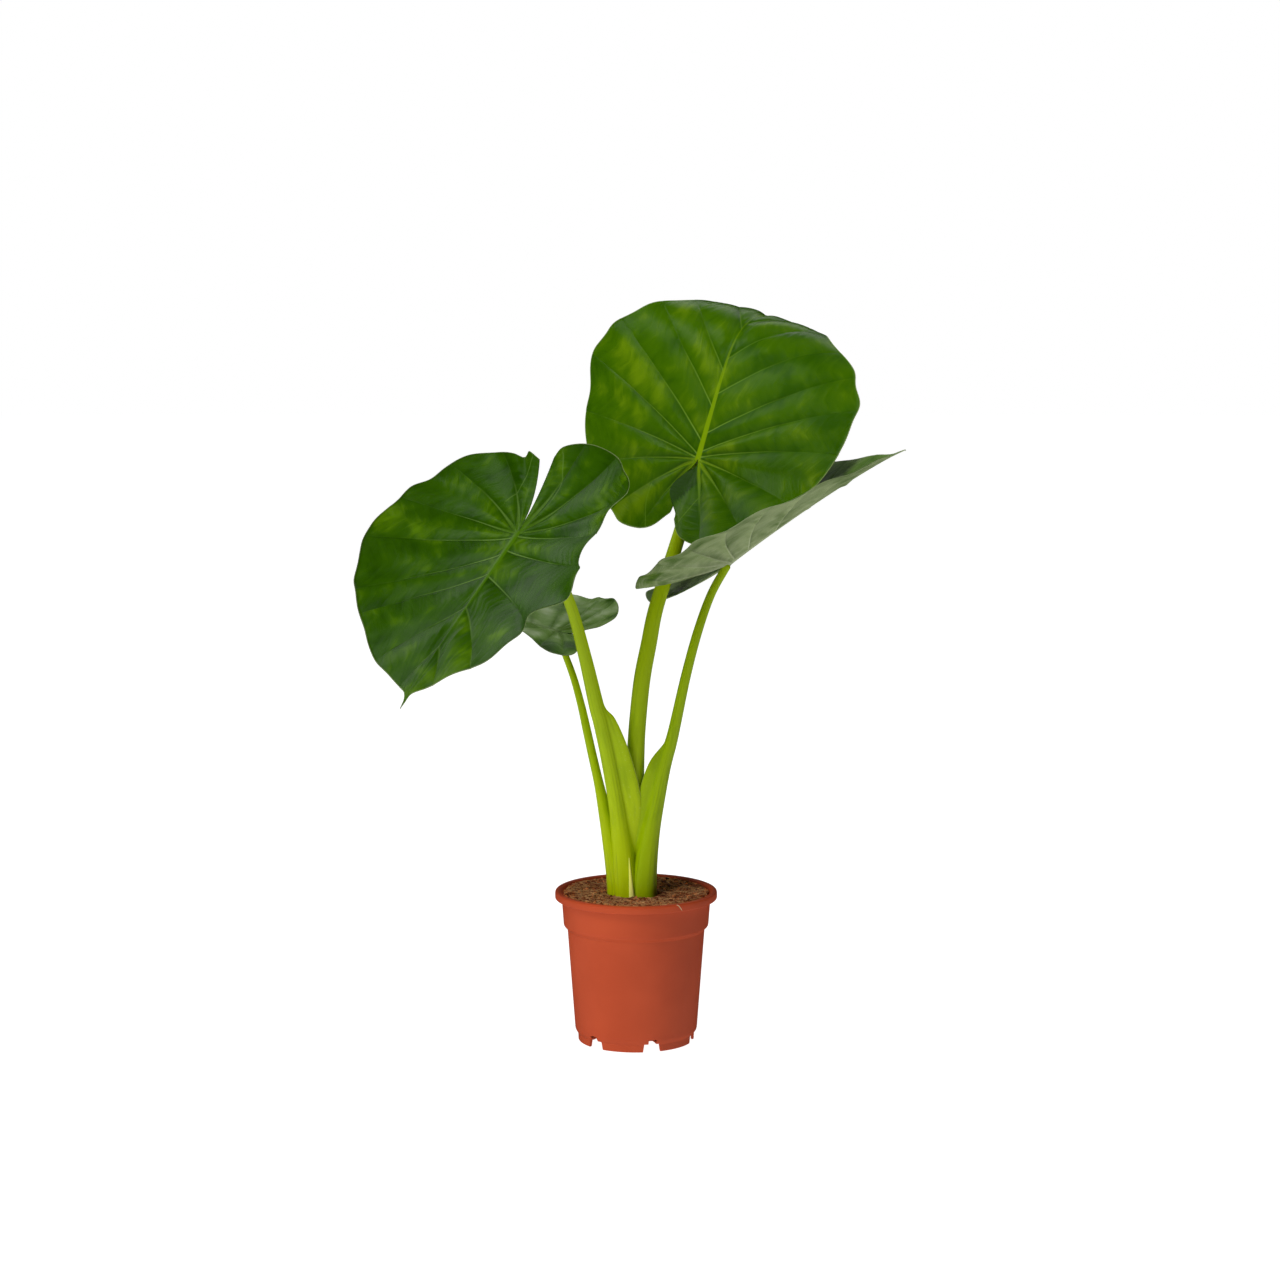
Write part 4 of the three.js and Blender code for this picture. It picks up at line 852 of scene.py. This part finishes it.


# The bulges between the veins are lightened by a share that each blade sets: painted light, as if shining
# through the blade
def leaf_material(name, painted_bulge_light, shine, dark, mid, bright, vein, rib, under, under_vein, under_deep):
    g = Graph(name)
    plan = g.attribute("plan", "Vector")
    ahead_of_junction = g.first_of(plan)
    side_vein = g.attribute("vein")
    d_vein = g.math("ABSOLUTE", side_vein)
    d_branch = g.math("ABSOLUTE", g.attribute("branch"))
    d_rib = g.math("ABSOLUTE", g.attribute("rib"))
    ahead = g.attribute("ahead")
    below = g.attribute("under")
    along = g.attribute("along")
    blotch = g.noise(g.vector(plan, (0.013, 0.013, 0.9)), 1.0, 2.0, 0.5, 0.6)
    patch = g.noise(g.vector(plan, (0.036, 0.036, 0.9)), 1.0, 2.0, 0.45, 0.6)
    # Streaks run slantwise from each vein, as the fine nerves do
    slant = g.add(g.times(along, 0.75), g.times(d_vein, 0.55))
    across = g.minus(g.times(d_vein, 0.75), g.times(along, 0.2))
    lane = g.combine(g.times(slant, 0.16), g.times(across, 0.045), g.times(side_vein, 0.006))
    streak = g.noise(lane, 1.0, 4.0, 0.55, 0.7)
    fine = g.noise(g.vector(plan, (0.9, 0.9, 3.0)), 1.0, 3.0, 0.6)

    # Lightness of the top: mottling, spots of painted light and painted shade, and painted light on the
    # bulges between the veins, as if shining through the blade
    light = g.add(g.times(blotch, 0.62), g.times(patch, 0.5), g.times(streak, 0.32), g.attribute("painted_light_and_shade"),
                  g.times(g.minus(g.attribute("bulge"), 0.5), painted_bulge_light), g.times(g.add(fine, 1.0), 0.08))
    # The darkest tone: for the spots of painted shade, and for the darkest mottling
    deep = tuple(0.62 * c for c in dark[:3]) + (1.0,)
    tone = g.mix(g.span(light, 0.38, 0.6), deep, dark)
    tone = g.mix(g.span(light, 0.62, 0.88), tone, mid)
    tone = g.mix(g.span(light, 0.84, 1.12), tone, bright)
    # The veins of the basal lobes start as broad as the midrib
    stout = g.times(g.span(ahead_of_junction, -8.0, 8.0, 1.0, 0.0), g.span(along, 3.0, 52.0, 1.0, 0.0))
    wide = g.add(g.minus(1.15, g.times(ahead, 0.75)), g.times(stout, 1.2))
    strong = g.times(g.span(ahead, 0.12, 0.75, 1.0, 0.08),
                     g.span(ahead_of_junction, 30.0, 150.0, 1.0, 0.35))
    line = g.times(g.span(g.math("DIVIDE", d_vein, wide), 0.35, 1.0, 1.0, 0.0), strong)
    line = g.math("MAXIMUM", line, g.times(g.span(d_branch, 0.3, 1.0, 1.0, 0.0), 0.5))
    shadow = g.times(g.span(d_vein, 1.0, 4.2, 1.0, 0.0), g.span(ahead, 0.0, 0.8, 1.0, 0.3))
    tone = g.over(tone, shadow, 0.45, dark)
    tone = g.over(tone, line, 0.72, g.mix(stout, vein, rib))
    rib_width = g.math("MAXIMUM", g.minus(3.9, g.times(ahead_of_junction, 0.021)), 0.7)
    rib_mask = g.span(g.math("DIVIDE", d_rib, rib_width), 0.7, 1.1, 1.0, 0.0)
    tone = g.over(tone, rib_mask, g.span(ahead_of_junction, 5.0, 170.0, 1.0, 0.22), rib)
    tone = g.over(tone, g.span(g.attribute("margin"), 0.3, 1.3, 1.0, 0.0), 0.6, under_vein)

    # The underside: mottling, with the spots of painted light and painted shade
    mottle_light_and_shade = g.add(g.times(patch, 0.5), g.attribute("painted_light_and_shade"))
    pale = g.mix(g.span(mottle_light_and_shade, 0.0, 0.42), under_deep, under)
    pale = g.over(pale, g.span(streak, 0.5, 0.7), 0.3, under_vein)
    pale = g.over(pale, g.math("MAXIMUM", line, rib_mask), 0.6, under_vein)
    rough = g.add(shine, g.times(fine, 0.1), g.times(streak, 0.1), g.times(below, 0.1))
    height = g.add(g.times(streak, 2.2), g.times(fine, 0.7), g.times(patch, 1.2))
    return g.finish(g.mix(below, tone, pale), rough, g.bump(height, 0.45, 0.0006), 0.3)


def stalk_material(name, low, high, stripe, wing_edge):
    g = Graph(name)
    coat = g.attribute("coat", "Vector")
    height = g.attribute("height")
    wing = g.attribute("wing")
    stripes = g.noise(g.vector(coat, (0.55, 0.55, 0.012)), 1.0, 4.0, 0.6)
    cloud = g.noise(g.vector(coat, (0.08, 0.08, 0.02)), 1.0, 3.0, 0.5)
    fine = g.noise(g.vector(coat, (2.2, 2.2, 0.3)), 1.0, 3.0, 0.6)
    tone = g.mix(g.span(height, 165, 330), low, high)
    tone = g.over(tone, g.span(stripes, 0.5, 0.68), 0.45, stripe)
    tone = g.over(tone, g.span(cloud, 0.52, 0.72), 0.35, stripe)
    tone = g.over(tone, g.span(fine, 0.58, 0.75), 0.18, wing_edge)
    off = g.math("ABSOLUTE", g.attribute("off"))
    rim = g.times(g.span(off, 0.0, 0.035, 1.0, 0.0), g.span(wing, 2.0, 5.0))
    tone = g.over(tone, rim, 0.85, wing_edge)
    rough = g.add(0.34, g.times(fine, 0.14))
    bumps = g.add(stripes, g.times(fine, 0.35))
    return g.finish(tone, rough, g.bump(bumps, 0.3, 0.0004), 0.16)


def cataphyll_material():
    g = Graph("cataphyll_skin")
    coat = g.attribute("coat", "Vector")
    height = g.attribute("height")
    streak = g.noise(g.vector(coat, (0.7, 0.7, 0.03)), 1.0, 3.0, 0.6)
    tone = g.mix(g.span(height, 155, 182), rgb(255, 255, 140), rgb(252, 255, 110))
    tone = g.over(tone, g.span(streak, 0.55, 0.75), 0.25, rgb(214, 230, 60))
    rough = g.add(0.4, g.times(streak, 0.1))
    return g.finish(tone, rough, g.bump(streak, 0.3, 0.0003), 0.4)


def pot_material():
    g = Graph("pot_plastic")
    place = g.place()
    cloud = g.noise(place, 14.0, 3.0, 0.5)
    grain = g.noise(place, 900.0, 3.0, 0.65)
    scuff = g.noise(g.vector(place, (40.0, 40.0, 260.0)), 1.0, 3.0, 0.7)
    tone = g.mix(g.span(cloud, 0.35, 0.7), rgb(172, 67, 34), rgb(180, 72, 38))
    tone = g.over(tone, g.span(scuff, 0.66, 0.8), 0.1, rgb(204, 116, 84))
    tone = g.over(tone, g.span(grain, 0.6, 0.8), 0.12, rgb(160, 62, 40))
    rough = g.add(0.4, g.times(grain, 0.12))
    return g.finish(tone, rough, g.bump(grain, 0.25, 0.0002), 0.2)


def soil_material():
    g = Graph("soil_peat")
    place = g.place()
    lump = g.noise(place, 110.0, 5.0, 0.65)
    fine = g.noise(place, 700.0, 4.0, 0.7)
    tone = g.mix(g.span(lump, 0.4, 0.58), rgb(128, 58, 24), rgb(255, 150, 84))
    tone = g.over(tone, g.span(fine, 0.54, 0.66), 0.5, rgb(255, 196, 136))
    heights = g.add(lump, g.times(fine, 0.5))
    return g.finish(tone, 0.88, g.bump(heights, 0.8, 0.0012), 0.25)


def scrap_material(name, dark, light):
    g = Graph(name)
    place = g.place()
    tone = g.attribute("tone")
    fine = g.noise(place, 900.0, 3.0, 0.6)
    color = g.mix(g.span(tone, 0.1, 1.0), dark, light)
    color = g.over(color, fine, 0.5, dark)
    return g.finish(color, 0.82, g.bump(fine, 0.5, 0.0004), 0.25)


def floor_material():
    g = Graph("studio_floor")
    place = g.place()
    cloud = g.noise(place, 1.5, 2.0, 0.5)
    g.shader.inputs["Emission Color"].default_value = (1, 1, 1, 1)
    g.shader.inputs["Emission Strength"].default_value = 1.0
    return g.finish(g.mix(cloud, (0.3, 0.3, 0.3, 1), (0.32, 0.32, 0.32, 1)), 0.9, None, 0.1)


def wear(obj, material, slot, *nodes):
    obj.data.materials.clear()
    obj.data.materials.append(material)
    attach(obj, "root")
    if nodes:
        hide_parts(*nodes)


# Camera, in the photograph's place
camera_data = bpy.data.cameras.new("view")
camera_data.lens = LENS_MM
camera_data.sensor_width = SENSOR_MM
camera = new_object("view", camera_data)
camera.location = CAMERA_PLACE_M
camera.rotation_euler = (math.radians(90 - CAMERA_DOWN_DEG), 0, 0)
bpy.context.scene.camera = camera

# Pieces. Display colours: dark, mid, bright, vein, rib, under, under_vein, under_deep
GREENS = dict(
    blade_left=((28, 59, 0), (41, 75, 0), (74, 108, 3), (96, 126, 56), (66, 102, 6),
                (112, 128, 84), (140, 154, 104), (72, 96, 40)),
    blade_top=((40, 76, 0), (56, 92, 0), (90, 120, 5), (104, 138, 40), (116, 146, 4),
               (112, 132, 84), (146, 164, 96), (72, 100, 36)),
    blade_right=((46, 74, 22), (80, 106, 48), (124, 144, 96), (104, 130, 54), (92, 122, 26),
                 (140, 154, 108), (168, 178, 140), (62, 90, 26)),
    # The pale grey-green bright tone of blade_back is also its painted sheen, where its spots of painted
    # light reach it
    blade_back=((56, 94, 6), (106, 140, 60), (160, 180, 132), (84, 116, 34), (90, 120, 38),
                (104, 122, 74), (130, 146, 94), (70, 96, 38)))
# Plan, spacing of the points along the edge, points from the midrib to the edge, painted light on the
# bulges, shine
BLADES = dict(blade_left=(LEAF_LEFT, 2.4, 58, 0.06, 0.13), blade_top=(LEAF_TOP, 2.4, 62, 0.08, 0.13),
              blade_right=(LEAF_RIGHT, 2.6, 50, 0.06, 0.2), blade_back=(LEAF_BACK, 2.8, 36, 0.06, 0.2))
for node, (leaf, spacing, rows, painted_bulge_light, shine) in BLADES.items():
    blade = make_blade(node + "_living", leaf, spacing, rows)
    skin = leaf_material(node + "_skin", painted_bulge_light, shine, *(rgb(*color) for color in GREENS[node]))
    wear(blade, skin, node, node)

# Display colours: low, high, stripe, wing_edge
LIMES = ((184, 205, 0), (160, 186, 6), (128, 156, 0), (222, 230, 130))
DEEP_LIMES = ((158, 184, 0), (150, 178, 4), (104, 136, 0), (214, 224, 120))
STALKS = dict(petiole_left=(STALK_LEFT, LIMES), petiole_top=(STALK_TOP, LIMES),
              petiole_right=(STALK_RIGHT, DEEP_LIMES), petiole_back=(STALK_BACK, LIMES))
for node, (stalk, colors) in STALKS.items():
    obj = make_stalk(node + "_living", stalk)
    wear(obj, stalk_material(node + "_skin", *(rgb(*color) for color in colors)), node, node)
spike = make_stalk("cataphyll_living", CATAPHYLL, 32, 10)
wear(spike, cataphyll_material(), "cataphyll", "cataphyll")

wear(make_pot(), pot_material(), "pot", "pot")
wear(make_soil(), soil_material(), "soil", "soil")
crumb_skin = scrap_material("peat_crumbs", rgb(92, 40, 18), rgb(255, 166, 104))
wear(make_crumbs(CRUMB_COUNT), crumb_skin, "soil")
coir_skin = scrap_material("coir_strands", rgb(140, 68, 32), rgb(255, 204, 144))
wear(make_fibres(FIBRE_COUNT), coir_skin, "soil")
pale_skin = scrap_material("pale_strand", rgb(150, 120, 84), rgb(206, 186, 150))
wear(make_stray_fibre(), pale_skin, "soil")

# Studio: white floor and surround, soft lights from the left, the front, above and behind
far = FLOOR_HALF_SIZE
corners = [(x, y, -FLOOR_GAP) for x, y in ((-far, -far), (far, -far), (far, far), (-far, far))]
floor = make_mesh("studio_floor", corners, [(0, 1, 2, 3)])
floor.data.materials.append(floor_material())
floor.visible_glossy = False
world = bpy.data.worlds.new("studio")
bpy.context.scene.world = world
world.use_nodes = True
background = world.node_tree.nodes["Background"]
background.inputs["Color"].default_value = (1, 1, 1, 1)
background.inputs["Strength"].default_value = 1.0
world.cycles_visibility.diffuse = False
world.cycles_visibility.glossy = False


def soft_light(name, place, aim_height, size, watts):
    """A rectangular light aimed at a height on the pot's axis, in metres."""
    data = bpy.data.lights.new(name, "AREA")
    data.shape = "RECTANGLE"
    data.size, data.size_y = size
    data.energy = watts
    light = new_object(name, data)
    light.location = place
    away = np.array(place) - np.array((0, 0, aim_height))
    yaw = math.atan2(away[0], -away[1])
    pitch = math.atan2(math.hypot(away[0], away[1]), away[2])
    light.rotation_euler = (pitch, 0, yaw)
    return light


for row in (("key", (-1.5, -1.9, 2.9), 0.45, (1.2, 1.2), 60),
            ("front", (-3.4, -3.0, 1.2), 0.4, (2.6, 2.6), 88),
            ("top", (0.4, 0.2, 3.0), 0.4, (1.4, 1.4), 34),
            ("back", (0.8, 2.8, 2.0), 0.5, (2.0, 1.4), 10)):
    soft_light(*row).visible_glossy = False
# Lights that only show as sheens on the waxy leaves
for row in (("window_left", (-1.85, -0.16, 2.9), 0.55, (1.0, 1.0), 4.5),
            ("window_far", (-1.68, 1.87, 2.15), 0.55, (1.9, 1.1), 4.2),
            ("window_back", (0.35, 2.2, 2.55), 0.55, (1.6, 1.1), 4.5)):
    soft_light(*row).visible_diffuse = False
bpy.context.scene.view_settings.view_transform = "Standard"

bpy.context.view_layer.update()
